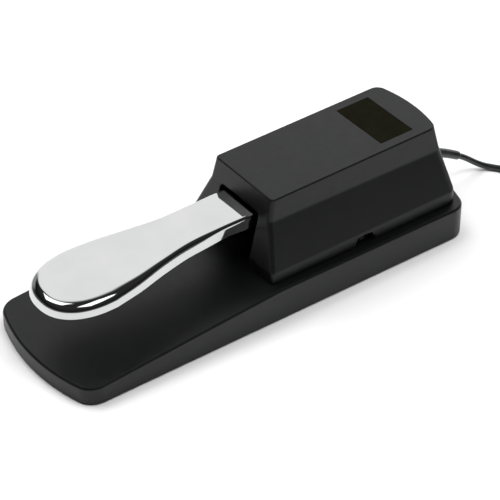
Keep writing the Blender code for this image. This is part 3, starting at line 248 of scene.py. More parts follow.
def rounded_profile(profile, radius, steps=4):
    """The open profile with each inner corner replaced by a short curve."""
    points = [Vector(p) for p in profile]
    line = [points[0]]
    for before, corner, after in zip(points, points[1:], points[2:]):
        reach_in = min(radius, (before - corner).length * 0.45)
        reach_out = min(radius, (after - corner).length * 0.45)
        start = corner + (before - corner).normalized() * reach_in
        end = corner + (after - corner).normalized() * reach_out
        for i in range(steps + 1):
            t = i / steps
            line.append(start * (1 - t) ** 2 + corner * 2 * t * (1 - t) + end * t * t)
    line.append(points[-1])
    return line


def mirrored(half):
    """A closed outline from its right half, which runs from the front centre to the rear centre."""
    return half + [(-x, y) for x, y in reversed(half[1:-1])]


def inset(outline, distance):
    """The outline moved inwards along its normals; distance may be a number or a function of (x, y)."""
    moved = []
    for i, (x, y) in enumerate(outline):
        (xa, ya), (xb, yb) = outline[i - 1], outline[(i + 1) % len(outline)]
        before, after = Vector((x - xa, y - ya)).normalized(), Vector((xb - x, yb - y)).normalized()
        along = (before + after).normalized()
        amount = distance(x, y) if callable(distance) else distance
        amount /= max(along.dot(after), 0.5)
        moved.append((x - along.y * amount, y + along.x * amount))
    return moved


def bowed_end(half_width, bow, corner, bow_steps=12, corner_steps=12):
    """Points from the middle of a bowed end to its side, as (x, distance back from the end's tip)."""
    radius = (half_width**2 + bow**2) / (2 * bow)
    centre_x = half_width - corner
    centre_y = radius - math.sqrt((radius - corner) ** 2 - centre_x**2)
    turn = math.asin(centre_x / (radius - corner))
    points = [(radius * math.sin(turn * i / bow_steps), radius - radius * math.cos(turn * i / bow_steps))
              for i in range(bow_steps)]
    for i in range(corner_steps + 1):
        angle = turn + (math.pi / 2 - turn) * i / corner_steps
        points.append((centre_x + corner * math.sin(angle), centre_y - corner * math.cos(angle)))
    return points


def smooth_line(points, spacing):
    """Points about a spacing apart on a smooth curve through the given ones."""
    route = [Vector(p) for p in points]
    route = [2 * route[0] - route[1], *route, 2 * route[-1] - route[-2]]
    line = [route[1]]
    for a, b, c, d in zip(route, route[1:], route[2:], route[3:]):
        count = max(1, round((c - b).length / spacing))
        for i in range(1, count + 1):
            t = i / count
            line.append(0.5 * (2 * b + (c - a) * t + (2 * a - 5 * b + 4 * c - d) * t**2
                               + (3 * b - a - 3 * c + d) * t**3))
    return line


def swept(line, radii, count=MEDIUM):
    """A round solid along a line of points, with its own radius at each."""
    rings = []
    side = Vector((1, 0, 0))
    for i, (point, radius) in enumerate(zip(line, radii)):
        along = (line[min(i + 1, len(line) - 1)] - line[max(i - 1, 0)]).normalized()
        side = (side - along * side.dot(along)).normalized()
        up = along.cross(side)
        rings.append([point + side * a + up * b for a, b in circle(radius, count)])
    return loft(rings)


def rounded_rectangle(half_width, height, corner, steps=6):
    """A closed outline about the middle of its lower side, as (across, up)."""
    points = []
    for side_x, side_z, start in ((1, 0, -90), (1, 1, 0), (-1, 1, 90), (-1, 0, 180)):
        cx = side_x * (half_width - corner)
        cz = height - corner if side_z else corner
        for i in range(steps + 1):
            a = math.radians(start + 90 * i / steps)
            points.append((cx + corner * math.cos(a), cz + corner * math.sin(a)))
    return points


def smoothstep(low, high, value):
    t = min(max((value - low) / (high - low), 0.0), 1.0)
    return t * t * (3 - 2 * t)


def quarter(radius, steps):
    """A rounded edge in steps from a side to a top: how far in from the side, how far below the top."""
    turns = [math.pi / 2 * i / steps for i in range(steps + 1)]
    return [(radius * (1 - math.cos(turn)), radius * (1 - math.sin(turn))) for turn in turns]


def is_flat(face):
    middle = face.calc_center_median()
    return all(abs((v.co - middle).dot(face.normal)) < 1e-7 for v in face.verts)


def link(name, data):
    obj = bpy.data.objects.new(name, data)
    bpy.context.collection.objects.link(obj)
    return obj


def to_object(name, bm):
    """Faces that aren't flat are split first, because an exact Boolean needs flat ones."""
    bmesh.ops.recalc_face_normals(bm, faces=bm.faces)
    bmesh.ops.triangulate(bm, faces=[f for f in bm.faces if not is_flat(f)])
    mesh = bpy.data.meshes.new(name)
    bm.to_mesh(mesh)
    bm.free()
    return link(name, mesh)


def cut(target, tool_bm, operation="DIFFERENCE"):
    """An exact Boolean of target with a mesh, applied at once."""
    tool = to_object("tool", tool_bm)
    modifier = target.modifiers.new("cut", "BOOLEAN")
    modifier.operation = operation
    modifier.solver = "EXACT"
    modifier.object = tool
    bake_modifiers(target)
    bpy.data.objects.remove(tool)


def cut_with(target, tool):
    """A cut with an object, which is used up."""
    cutter = bmesh.new()
    cutter.from_mesh(tool.data)
    bpy.data.objects.remove(tool)
    cut(target, cutter)


def bake_modifiers(obj):
    """Replaces the object's mesh with what its modifiers make of it."""
    graph = bpy.context.evaluated_depsgraph_get()
    mesh = bpy.data.meshes.new_from_object(obj.evaluated_get(graph))
    obj.modifiers.clear()
    obj.data = mesh


def bevel(bm, width, segments=3):
    edges = [e for e in bm.edges if e.is_manifold and e.calc_face_angle() > math.radians(30)]
    bmesh.ops.bevel(bm, geom=edges, offset=width, segments=segments, profile=0.5, affect="EDGES")
    return bm


def settle(obj, body, mat, nodes=(), angle=32):
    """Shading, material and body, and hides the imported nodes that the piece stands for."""
    mesh = obj.data
    mesh.materials.clear()
    mesh.materials.append(mat)
    mesh.shade_smooth()
    mesh.set_sharp_from_angle(angle=math.radians(angle))
    weighted = obj.modifiers.new("even_shading", "WEIGHTED_NORMAL")
    weighted.keep_sharp = True
    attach(obj, body)
    if nodes:
        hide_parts(*nodes)
    return obj


# ---------------------------------------------------------------- camera, floor and light


def camera():
    """Looks down the azimuth from the elevation; its axes are worked out from the two angles."""
    sin_a, cos_a = math.sin(CAMERA_AZIMUTH), math.cos(CAMERA_AZIMUTH)
    sin_e, cos_e = math.sin(CAMERA_ELEVATION), math.cos(CAMERA_ELEVATION)
    back = Vector((sin_a * cos_e, -cos_a * cos_e, sin_e))
    right = Vector((cos_a, sin_a, 0))
    up = back.cross(right)
    data = bpy.data.cameras.new("camera")
    data.lens = CAMERA_LENS
    data.clip_start, data.clip_end = 0.05, 50
    obj = link("camera", data)
    axes = Matrix((right, up, back)).transposed().to_4x4()
    obj.matrix_world = Matrix.Translation(CAMERA_AIM + back * CAMERA_DISTANCE) @ axes
    bpy.context.scene.camera = obj


def area_light(name, place, target, width, height, watts):
    data = bpy.data.lights.new(name, "AREA")
    data.shape = "RECTANGLE"
    data.size, data.size_y = width, height
    data.energy = watts
    obj = link(name, data)
    obj.location = place
    obj.rotation_euler = (Vector(target) - Vector(place)).to_track_quat("-Z", "Y").to_euler()
    return obj


def studio():
    """A lit backdrop behind the pedal, a dimmer panel beside it, and a dark room that is dim low down.
    Two fills light the floor and stay out of reflections; two strips shine on the lever's nose."""
    world = bpy.data.worlds.new("studio")
    bpy.context.scene.world = world
    world.use_nodes = True
    nodes, links = world.node_tree.nodes, world.node_tree.links
    nodes.clear()
    way = nodes.new("ShaderNodeTexCoord")

    def toward(direction, low, high):
        """Share of light, from 0 at one sine of the angle towards a direction to 1 at another."""
        dot = nodes.new("ShaderNodeVectorMath")
        dot.operation = "DOT_PRODUCT"
        dot.inputs[1].default_value = direction
        links.new(way.outputs["Generated"], dot.inputs[0])
        share = nodes.new("ShaderNodeMapRange")
        share.interpolation_type = "SMOOTHSTEP"
        share.inputs["From Min"].default_value = low
        share.inputs["From Max"].default_value = high
        links.new(dot.outputs["Value"], share.inputs["Value"])
        return share.outputs["Result"]

    def above(edge):
        return toward((0.0, 0.0, 1.0), *edge)

    def right_of(degrees, low, high):
        turn = math.radians(degrees)
        return toward((math.sin(turn), -math.cos(turn), 0.0), low, high)

    def blend(factor, first, second):
        mix = nodes.new("ShaderNodeMix")
        mix.data_type = "RGBA"
        links.new(factor, mix.inputs["Factor"])
        for value, socket in ((first, mix.inputs[6]), (second, mix.inputs[7])):
            if isinstance(value, float):
                socket.default_value = (value, value, value, 1.0)
            else:
                links.new(value, socket)
        return mix.outputs[2]

    room = blend(above(CEILING_EDGE), ROOM_LIGHT, CEILING_LIGHT)
    room = blend(above(LOW_TOP), LOW_LIGHT, room)
    side = blend(right_of(SIDE_END, -0.10, 0.16), room, SIDE_LIGHT)
    side = blend(above(SIDE_TOP), side, room)
    card = blend(right_of(BACKDROP_LEFT, -0.04, 0.05), side, BACKDROP_LIGHT)
    card = blend(right_of(BACKDROP_RIGHT, -0.30, -0.10), card, room)
    sky = blend(above(BACKDROP_TOP), card, room)
    seen = nodes.new("ShaderNodeLightPath")
    sky = blend(seen.outputs["Is Camera Ray"], sky, PLAIN_LIGHT)
    background = nodes.new("ShaderNodeBackground")
    output = nodes.new("ShaderNodeOutputWorld")
    links.new(sky, background.inputs["Color"])
    links.new(background.outputs["Background"], output.inputs["Surface"])

    for place in FILL_PLACES:
        fill = area_light("fill", place, (0, 0, 0), FILL_SIZE, FILL_SIZE, FILL_WATTS)
        fill.visible_glossy = False
    for direction, width, height in STRIPS:
        place = NOSE_PLACE + Vector(direction).normalized() * STRIP_DISTANCE
        area_light("strip", place, NOSE_PLACE, width, height, STRIP_POWER * width * height)


def floor():
    bm = loft([[(x, y, z) for x, y in ((-6, -6), (6, -6), (6, 6), (-6, 6))] for z in (-0.02, 0.0)])
    obj = to_object("floor", bm)
    obj.location.z = -0.00005  # just clear of the mat
    mat = bpy.data.materials.new("floor_paper")
    mat.use_nodes = True
    shader = mat.node_tree.nodes["Principled BSDF"]
    shader.inputs["Base Color"].default_value = (0.86, 0.86, 0.86, 1)
    shader.inputs["Roughness"].default_value = 0.9
    shader.inputs["Specular IOR Level"].default_value = 0.1
    obj.data.materials.append(mat)


# ---------------------------------------------------------------- materials


class Finish:
    """Builds one procedural material around a Principled shader, in metres of object space."""

    def __init__(self, name, **sockets):
        self.material = bpy.data.materials.new(name)
        self.material.use_nodes = True
        self.nodes = self.material.node_tree.nodes
        self.links = self.material.node_tree.links
        self.shader = self.nodes["Principled BSDF"]
        for socket, value in sockets.items():
            self.shader.inputs[socket.replace("_", " ")].default_value = value
        self.place = self.nodes.new("ShaderNodeTexCoord").outputs["Object"]
        self.bump = None

    def add(self, kind, socket, source, **values):
        """A node with a source linked into one socket and values set on others."""
        node = self.nodes.new("ShaderNode" + kind)
        for name, value in values.items():
            node.inputs[name.replace("_", " ")].default_value = value
        self.links.new(source, node.inputs[socket])
        return node

    def stretched(self, scale):
        """Object coordinates with their own scale on each axis."""
        return self.add("Mapping", "Vector", self.place, Scale=scale).outputs["Vector"]

    def noise(self, scale, detail, roughness=0.55, place=None):
        values = {"Scale": scale, "Detail": detail, "Roughness": roughness}
        return self.add("TexNoise", "Vector", place or self.place, **values).outputs["Fac"]

    def cells(self, scale):
        return self.add("TexVoronoi", "Vector", self.place, Scale=scale).outputs["Distance"]

    def waves(self, scale, direction, distortion):
        node = self.add("TexWave", "Vector", self.place, Scale=scale, Distortion=distortion)
        node.bands_direction = direction
        return node.outputs["Fac"]

    def colour(self, value, low, high, from_low=0.3, from_high=0.7):
        """Base colour between two colours, by a texture."""
        node = self.add("ValToRGB", "Fac", value)
        for element, position, tone in zip(node.color_ramp.elements, (from_low, from_high), (low, high)):
            element.position = position
            element.color = (*tone, 1)
        self.links.new(node.outputs["Color"], self.shader.inputs["Base Color"])

    def rough(self, value, low, high):
        """Roughness between two values, by a texture."""
        node = self.add("MapRange", "Value", value, From_Min=0.3, From_Max=0.7, To_Min=low, To_Max=high)
        self.links.new(node.outputs["Result"], self.shader.inputs["Roughness"])

    def raised(self, value, height, strength):
        """Adds a bump of that height in metres; several stack up."""
        node = self.add("Bump", "Height", value, Strength=strength, Distance=height)
        if self.bump:
            self.links.new(self.bump, node.inputs["Normal"])
        self.bump = node.outputs["Normal"]
        self.links.new(self.bump, self.shader.inputs["Normal"])


def satin_plastic():
    """Injection moulded black plastic with a fine spark-eroded grain."""
    f = Finish("satin_black_plastic", IOR=1.47, Specular_IOR_Level=0.36)
    f.colour(f.noise(22, 3), (0.0025, 0.0028, 0.0030), (0.0036, 0.0038, 0.0039))
    f.rough(f.noise(260, 5), 0.34, 0.42)
    f.raised(f.cells(1900), 0.000035, 0.55)
    f.raised(f.noise(5200, 2), 0.000012, 0.4)
    return f.material


def steel():
    """Zinc plated sheet and wire: brushed, with a slightly cloudy passivation."""
    f = Finish("zinc_steel", Metallic=1.0)
    brushed = f.noise(900, 3, place=f.stretched((1.0, 0.06, 1.0)))
    f.colour(f.noise(140, 4), (0.46, 0.47, 0.49), (0.62, 0.63, 0.64))
    f.rough(brushed, 0.26, 0.42)
    f.raised(brushed, 0.00001, 0.4)
    return f.material


def felt():
    f = Finish("grey_felt", Specular_IOR_Level=0.1, Sheen_Weight=0.5, Sheen_Roughness=0.6)
    fibres = f.noise(1800, 6, 0.75)
    f.colour(fibres, (0.10, 0.10, 0.10), (0.22, 0.22, 0.215))
    f.rough(fibres, 0.9, 1.0)
    f.raised(fibres, 0.0003, 0.9)
    return f.material


def circuit_green():
    f = Finish("board_green", Coat_Weight=0.4, Coat_Roughness=0.2)
    f.colour(f.waves(160, "Y", 6.0), (0.010, 0.085, 0.034), (0.022, 0.150, 0.062), 0.45, 0.60)
    f.rough(f.noise(500, 3), 0.28, 0.40)
    return f.material


# Finishes made of noises alone. Each noise starts with its scale and detail, and goes on with the two
# colours, the two roughnesses, or the bump's height and strength. Then come the shader's own sockets.
NOISY_FINISHES = {
    "chrome_plate": ((40, 2, (0.60, 0.61, 0.61), (0.64, 0.645, 0.64)), (320, 5, 0.035, 0.060),
                     (28, 1, 0.00006, 0.35), {"Metallic": 1.0}),
    "label_black": ((180, 4, (0.0048, 0.0046, 0.0018), (0.0072, 0.0069, 0.0030)), (900, 3, 0.50, 0.62),
                    (2600, 2, 0.000010, 0.4), {"IOR": 1.45, "Specular_IOR_Level": 0.02}),
    "black_rubber": ((90, 4, (0.008, 0.008, 0.008), (0.0125, 0.0125, 0.0125)), (700, 4, 0.66, 0.78),
                     (2400, 3, 0.00003, 0.6), {"Specular_IOR_Level": 0.35}),
    "cord_pvc": ((70, 3, (0.0085, 0.0105, 0.0098), (0.0125, 0.0150, 0.0140)), (420, 4, 0.27, 0.38),
                 (900, 3, 0.00002, 0.5), {"IOR": 1.5}),
    "brass_contact": ((260, 4, (0.60, 0.43, 0.19), (0.78, 0.60, 0.30)), (900, 3, 0.24, 0.38),
                      None, {"Metallic": 1.0}),
    "white_nylon": ((200, 4, (0.70, 0.69, 0.64), (0.80, 0.79, 0.75)), (600, 3, 0.38, 0.50),
                    (1800, 2, 0.00001, 0.4),
                    {"Subsurface_Weight": 0.15, "Subsurface_Radius": (0.0012, 0.0011, 0.0009)}),
    "switch_case": ((500, 5, (0.010, 0.010, 0.011), (0.020, 0.020, 0.021)), (900, 3, 0.30, 0.42),
                    (2600, 2, 0.00001, 0.4), {}),
    "wire_red": ((300, 3, (0.36, 0.012, 0.012), (0.52, 0.022, 0.020)), (800, 3, 0.32, 0.46), None, {}),
}


def make_materials():
    made = {
        "satin_black_plastic": satin_plastic(),
        "zinc_steel": steel(),
        "grey_felt": felt(),
        "board_green": circuit_green(),
    }
    for name, (colour, rough, bump, sockets) in NOISY_FINISHES.items():
        f = Finish(name, **sockets)
        f.colour(f.noise(*colour[:2]), *colour[2:])
        f.rough(f.noise(*rough[:2]), *rough[2:])
        if bump:
            f.raised(f.noise(*bump[:2]), *bump[2:])
        made[name] = f.material
    return made


# ---------------------------------------------------------------- lead


def coil_points():
    """Turns laid side by side and on each other. Each turn moves over by one diameter in its own short
    arc, and each layer's arcs come earlier round the coil than those of the layer below."""
    moves = []  # degrees travelled, change of radius, change of height, both in diameters
    for layer in range(TURNS_HIGH):
        inwards = -1 if layer % 2 == 0 else 1
        first_turn = TURNS_WIDE * layer + 1
        for turn in range(TURNS_WIDE - 1):
            moves.append((360 * (first_turn + turn) - COIL_SHIFT * (1 + 2 * layer), inwards, 0))
        if layer < TURNS_HIGH - 1:
            moves.append((360 * (first_turn + TURNS_WIDE - 1) - COIL_SHIFT * (2 + 2 * layer), 0, 1))
    whole_turns = TURNS_WIDE * TURNS_HIGH - 1
    travel = 360 * whole_turns - COIL_ENTRY
    steps = round(travel / COIL_STEP)
    points = []
    for i in range(steps + 1):
        degrees = travel * i / steps
        radius = COIL_RADIUS + CORD_DIAMETER * (TURNS_WIDE - 1) / 2
        height = COIL_LOW_Z + CORD_RADIUS
        for start, across, up in moves:
            share = smoothstep(start, start + COIL_SHIFT, degrees)
            radius += across * share * CORD_DIAMETER
            height += up * share * CORD_DIAMETER
        angle = math.radians(COIL_ENTRY + degrees)
        points.append((COIL_X + radius * math.cos(angle), COIL_Y + radius * math.sin(angle), height))
    return points


def lead(materials):
    """The whole cord as one curve: down from the relief, along the floor, round the coil, to the plug."""
    points = [*CORD_ROUTE, *coil_points(), *TAIL_ROUTE]
    curve = bpy.data.curves.new("lead_cord", "CURVE")
    curve.dimensions = "3D"
    curve.resolution_u = 5
    curve.bevel_depth = CORD_RADIUS
    curve.bevel_resolution = 4
    curve.use_fill_caps = True
    spline = curve.splines.new("BEZIER")
    spline.bezier_points.add(len(points) - 1)
    for bezier, place in zip(spline.bezier_points, points):
        bezier.co = place
        bezier.handle_left_type = bezier.handle_right_type = "AUTO"
    curve.materials.append(materials["cord_pvc"])
    obj = link("lead_cord", curve)
    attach(obj, "base")
    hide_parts("cable", "cable_coil", "cable_tail")
    return obj


def strain_relief(materials):
    """A moulded relief: a flange inside the wall, a neck through it and a slim curved sleeve."""
    line = smooth_line(RELIEF_ROUTE, 0.0006)
    outside = COVER_LEVELS[0][2] + COVER_BOW
    inside = outside - WALL - GAP
    radii = []
    for p in line:
        if p.y < inside:
            soft = 1 - smoothstep(RELIEF_ROUTE[0][1], RELIEF_ROUTE[0][1] + 2 * RELIEF_EDGE, p.y)
            radii.append(RELIEF_FLANGE - RELIEF_EDGE * soft)
        elif p.y < outside + GAP:
            radii.append(RELIEF_NECK)
        else:
            share = (p.y - outside) / (line[-1].y - outside)
            lip = smoothstep(0.965, 1.0, share)
            radii.append(RELIEF_SLEEVE - 0.0003 * share - 0.0005 * lip * lip)
    obj = to_object("moulded_relief", swept(line, radii, FINE))
    return settle(obj, "base", materials["cord_pvc"], ["strain_relief"], 40)


def coil_tie(materials):
    """A strap round the coil's bundle, on the side away from the pedal, with rounded edges."""
    half_width, height = CORD_DIAMETER * TURNS_WIDE / 2, CORD_DIAMETER * TURNS_HIGH
    along = Vector((-math.sin(TIE_ANGLE), math.cos(TIE_ANGLE), 0))
    across = Vector((math.cos(TIE_ANGLE), math.sin(TIE_ANGLE), 0))
    centre = Vector((COIL_X, COIL_Y, 0)) + across * COIL_RADIUS
    soft = TIE_THICKNESS * 0.4
    section = ((-0.5, 0.0), (0.5, 0.0), (0.5, TIE_THICKNESS - soft), (0.5 - soft / TIE_WIDTH, TIE_THICKNESS),
               (-0.5 + soft / TIE_WIDTH, TIE_THICKNESS), (-0.5, TIE_THICKNESS - soft))
    loops = []
    for side, out in section:
        grow = GAP + out
        outline = rounded_rectangle(half_width + grow, height + 2 * grow, CORD_RADIUS + grow)
        loops.append([centre + along * side * TIE_WIDTH + across * r + Vector((0, 0, COIL_LOW_Z - grow + z))
                      for r, z in outline])
    obj = to_object("coil_strap", hoop(loops))
    return settle(obj, "base", materials["black_rubber"], ["cord_tie"], 50)


def jack_plug(materials):
    """Handle with grip rings, collar and sleeve, insulating ring and the waisted tip."""
    handle = [(0.0, POINT), (-GAP, 0.0022), (-0.0060, 0.0026), (-0.0110, 0.0031), (-0.0125, 0.0047),
              (-0.0150, GRIP_RADIUS)]
    grooves, pitch, groove = 7, 0.0018, 0.0005
    for i in range(grooves):
        start = -0.0175 - pitch * i
        handle += [(start, GRIP_RADIUS), (start - groove * 0.3, GRIP_GROOVE), (start - groove, GRIP_GROOVE),
                   (start - groove * 1.3, GRIP_RADIUS)]
    handle += [(-0.0335, GRIP_RADIUS), (-0.0350, 0.0048), (-0.0350, POINT)]
    collar = [(-0.0353, POINT), (-0.0353, 0.0044), (-0.0369, 0.0044), (-0.0369, PIN_RADIUS),
              (-0.0570, PIN_RADIUS), (-0.0570, POINT)]
    washer = [(-0.0573, POINT), (-0.0573, PIN_RADIUS - 0.0001), (-0.0582, PIN_RADIUS - 0.0001),
              (-0.0582, POINT)]
    tip = [(-0.0585, POINT), (-0.0585, PIN_RADIUS), (-0.0600, PIN_RADIUS), (-0.0618, 0.0020),
           (-0.0628, 0.0022), (-0.0640, 0.0029), (-0.0655, 0.0026), (-0.0672, 0.0012), (-0.0676, POINT)]
    made = []
    for name, profile, soft, slot, node in (
        ("plug_grip", handle, 0.0005, "black_rubber", "plug_handle"),
        ("plug_barrel", collar, 0.0003, "chrome_plate", "plug_sleeve"),
        ("plug_ring", washer, 0.0001, "switch_case", "plug_insulator"),
        ("plug_point", tip, 0.0006, "chrome_plate", "plug_tip"),
    ):
        line = [tuple(p) for p in rounded_profile(profile, soft)]
        obj = to_object(name, turned(line, PLUG_PLACE, axis="Y", count=FINE))
        made.append(settle(obj, "base", materials[slot], [node], 40))
    return made


# ---------------------------------------------------------------- base


def base_top(y):
    slope = (BASE_HEIGHT - BASE_FRONT_HEIGHT) / (BASE_KINK_Y + BASE_HALF_LENGTH)
    return min(BASE_HEIGHT, BASE_HEIGHT + slope * (y - BASE_KINK_Y))


def base_outline():
    end = bowed_end(BASE_HALF_WIDTH, BASE_BOW, BASE_CORNER, 16, 16)
    front = [(x, y - BASE_HALF_LENGTH) for x, y in end]
    rear = [(x, -y) for x, y in reversed(front)]
    return mirrored([*front, (BASE_HALF_WIDTH, BASE_KINK_Y), *rear])


def base_moulding(materials):
    outline = base_outline()
    rings = []
    for rise, inward in quarter(FOOT_EDGE, 3):
        rings.append([(x, y, BASE_RIM_Z + rise) for x, y in inset(outline, inward)])
    for inward, drop in quarter(BASE_EDGE, 8):
        rings.append([(x, y, base_top(y) - drop) for x, y in inset(outline, inward)])
    base = to_object("base_moulding", loft(rings, laddered=True))
    saddle = box(-SADDLE_HALF, SADDLE_HALF, SADDLE_Y0, SADDLE_Y1, BASE_HEIGHT - WALL / 2, SADDLE_TOP_Z)
    cut(base, bevel(saddle, SADDLE_EDGE), "UNION")

    inner = inset(outline, WALL)
    hollow = to_object("base_hollow", loft([[(x, y, -WALL) for x, y in inner],
                                            [(x, y, base_top(y) - WALL) for x, y in inner]], laddered=True))
    ribs = bmesh.new()
    for x in RIB_XS:
        box(x - RIB_THICKNESS / 2, x + RIB_THICKNESS / 2, -1, 1, RIB_Z, BASE_HEIGHT, ribs)
    cut(hollow, ribs)
    ribs = bmesh.new()
    for step in range(-4, 5):
        y = RIB_PITCH * step
        box(-1, 1, y - RIB_THICKNESS / 2, y + RIB_THICKNESS / 2, RIB_Z, BASE_HEIGHT, ribs)
    cut(hollow, ribs)
    cut(hollow, cylinders((*COVER_SCREWS, *PLATE_SCREWS, *BRACKET_SCREWS), BOSS_RADIUS, RIB_Z, BASE_HEIGHT))
    cut_with(base, hollow)

    cut(base, cylinders(COVER_SCREWS, COUNTERBORE_RADIUS, 0.0, COUNTERBORE_Z))
    cut(base, cylinders(COVER_SCREWS, PILOT_RADIUS, 0.0, BASE_HEIGHT + WALL))
    pilots = bmesh.new()
    for x, y in PLATE_SCREWS:
        top = base_top(y) - PLATE_SCREW_COVER
        turned(((0.0, PILOT_RADIUS), (top, PILOT_RADIUS)), (x, y, 0), bm=pilots)
    cut(base, pilots)
    cut(base, cylinders(BRACKET_SCREWS, PILOT_RADIUS, 0.0060, 0.0250))
    cut(base, cylinders(((0, SPRING_Y), (0, LOWER_STOP_Y)), STEM_HOLE, 0.0, BASE_HEIGHT + WALL))
    cut(base, cylinders(SMALL_SCREWS, SMALL_PILOT, 0.0110, 0.0300))
    settle(base, "base", materials["satin_black_plastic"], ["base_shell"], 28)


def ribbed_mat(materials):
    """The rubber mat: fine cross ribs inside a plain border, with holes over the screws."""
    outline = inset(base_outline(), MAT_INSET)
    rings = [[(x, y, MAT_THICKNESS) for x, y in outline], [(x, y, MAT_EDGE) for x, y in outline],
             [(x, y, 0.0) for x, y in inset(outline, MAT_EDGE)]]
    mat = to_object("ribbed_mat", loft(rings, laddered=True))
    reach = BASE_HALF_LENGTH - MAT_BORDER_END
    width = BASE_HALF_WIDTH - MAT_BORDER_SIDE
    mouth, flat = GROOVE_MOUTH, GROOVE_FLOOR
    grooves = bmesh.new()
    for i in range(int(2 * reach / GROOVE_PITCH) + 1):
        y = -reach + GROOVE_PITCH * i
        section = ((y - mouth, -0.001), (y + mouth, -0.001), (y + mouth, 0.0), (y + flat, GROOVE_DEPTH),
                   (y - flat, GROOVE_DEPTH), (y - mouth, 0.0))
        loft([[(x, a, z) for a, z in section] for x in (-width, width)], grooves)
    cut(mat, grooves)
    cut(mat, cylinders(COVER_SCREWS, MAT_COVER_HOLE, -0.002, 0.004))
    cut(mat, cylinders(PLATE_SCREWS, MAT_PLATE_HOLE, -0.002, 0.004))
    settle(mat, "base", materials["black_rubber"], ["rubber_mat"], 20)


# ---------------------------------------------------------------- cover


def roof_z(y):
    _, front, rear, front_z, rear_z = COVER_LEVELS[-1]
    return front_z + (rear_z - front_z) * (y - front) / (rear - front)


def cover_ring(level, wall=0.0, edge=0.0, drop=0.0):
    """One closed ring of the cover. wall moves it in for the hollow, edge moves it in and drop down."""
    half_width, front, rear, front_z, rear_z = level
    half_width -= wall
    corner_front = max(COVER_FRONT_CORNER - wall, LEAST_CORNER)
    corner_rear = max(COVER_REAR_CORNER - wall, LEAST_CORNER)
    front_half = [(x, front + wall + y) for x, y in bowed_end(half_width, LEAST_BOW, corner_front, 5, 8)]
    rear_half = [(x, rear + COVER_BOW - wall - y)
                 for x, y in bowed_end(half_width, COVER_BOW, corner_rear, 12, 10)]
    outline = mirrored(front_half + rear_half[::-1])
    if edge:
        outline = inset(outline, edge)
    slope = (rear_z - front_z) / (rear - front)
    return [(x, y, front_z + slope * (y - front) - drop) for x, y in outline]


def softened(levels, reach, steps=3):
    """The levels with each inner one replaced by a few that round the crease."""
    rows = [Vector(level) for level in levels]
    line = [rows[0]]
    for before, corner, after in zip(rows, rows[1:], rows[2:]):
        start = corner + (before - corner) * (reach / abs(before[3] - corner[3]))
        end = corner + (after - corner) * (reach / abs(after[3] - corner[3]))
        for i in range(steps + 1):
            t = i / steps
            line.append(start * (1 - t) ** 2 + corner * 2 * t * (1 - t) + end * t * t)
    return line


def front_face_y(z):
    """Where the cover's front face is at a height."""
    for low, high in zip(COVER_LEVELS, COVER_LEVELS[1:]):
        if z <= high[3]:
            return low[1] + (high[1] - low[1]) * max(z - low[3], 0.0) / (high[3] - low[3])
    return COVER_LEVELS[-1][1]


def slot_outline(grow):
    corner = SLOT_CORNER + grow
    half_width, top_z = SLOT_HALF_WIDTH + grow, SLOT_TOP_Z + grow
    top = [(half_width - corner * (1 - math.cos(a)), top_z - corner * (1 - math.sin(a)))
           for a in (math.pi / 2 * i / 8 for i in range(9))]
    return [(half_width, 0.0), (half_width, COVER_LEVELS[1][3]), *top,
            *((-x, z) for x, z in reversed(top)), (-half_width, COVER_LEVELS[1][3]), (-half_width, 0.0)]


def cover_moulding(materials):
    rings = [cover_ring(level) for level in softened(COVER_LEVELS, CREASE_REACH)]
    for inward, drop in quarter(COVER_EDGE, 6):
        rings.append(cover_ring(COVER_LEVELS[-1], edge=inward, drop=drop))
    cover = to_object("cover_moulding", loft(rings, laddered=True))

    bottom, *rest = COVER_LEVELS
    inner = [cover_ring(bottom, wall=WALL, drop=WALL)] + [cover_ring(level, wall=WALL) for level in rest[:-1]]
    inner.append(cover_ring(rest[-1], wall=WALL, drop=WALL))
    hollow = to_object("cover_hollow", loft(inner, laddered=True))
    cut(hollow, cylinders(COVER_SCREWS, BOSS_RADIUS - GAP, 0.0, 0.08))
    cut(hollow, box(-STOP_RIB_HALF, STOP_RIB_HALF, STOP_RIB_Y0, STOP_RIB_Y1, STOP_RIB_Z, 0.08))
    cut_with(cover, hollow)
    cut(cover, cylinders(COVER_SCREWS, PILOT_RADIUS, 0.0, COVER_PILOT_Z))

    slot = slot_outline(0.0)
    cut(cover, loft([[(x, y, z) for x, z in slot] for y in (-0.02, 0.0070)]))
    mouth = [[(x, front_face_y(z) + SLOT_CHAMFER - 3 * out, z) for x, z in slot_outline(3 * out)]
             for out in (SLOT_CHAMFER, 0.0)]
    cut(cover, loft(mouth))

    scoop = bmesh.new()
    bmesh.ops.create_uvsphere(scoop, u_segments=48, v_segments=28, radius=1.0)
    bmesh.ops.scale(scoop, verts=scoop.verts, vec=SCOOP_RADII)
    bmesh.ops.translate(scoop, verts=scoop.verts, vec=(SCOOP_X, NOTCH_Y, COVER_BOTTOM_Z - GAP))
    cut(cover, scoop)
    cut(cover, box(0.0300, 0.0420, NOTCH_Y - NOTCH_HALF, NOTCH_Y + NOTCH_HALF, 0.0150, NOTCH_TOP_Z))
    hole = ((0.1100, RELIEF_HOLE), (0.1300, RELIEF_HOLE))
    cut(cover, turned(hole, (0, 0, CORD_INNER_Z), axis="Y", count=FINE))
    cut(cover, roof_slab(PLATE_MARGIN, PLATE_DEPTH + GAP, 0.0020))
    settle(cover, "base", materials["satin_black_plastic"], ["housing_cover"], 12)


def roof_slab(margin, deep, proud):
    """A slab that follows the roof's slope, from deep below it to proud above it."""
    outline = ((-PLATE_X - margin, PLATE_Y0 - margin), (PLATE_X + margin, PLATE_Y0 - margin),
               (PLATE_X + margin, PLATE_Y1 + margin), (-PLATE_X - margin, PLATE_Y1 + margin))
    return loft([[(x, y, roof_z(y) + rise) for x, y in outline] for rise in (-deep, proud)])


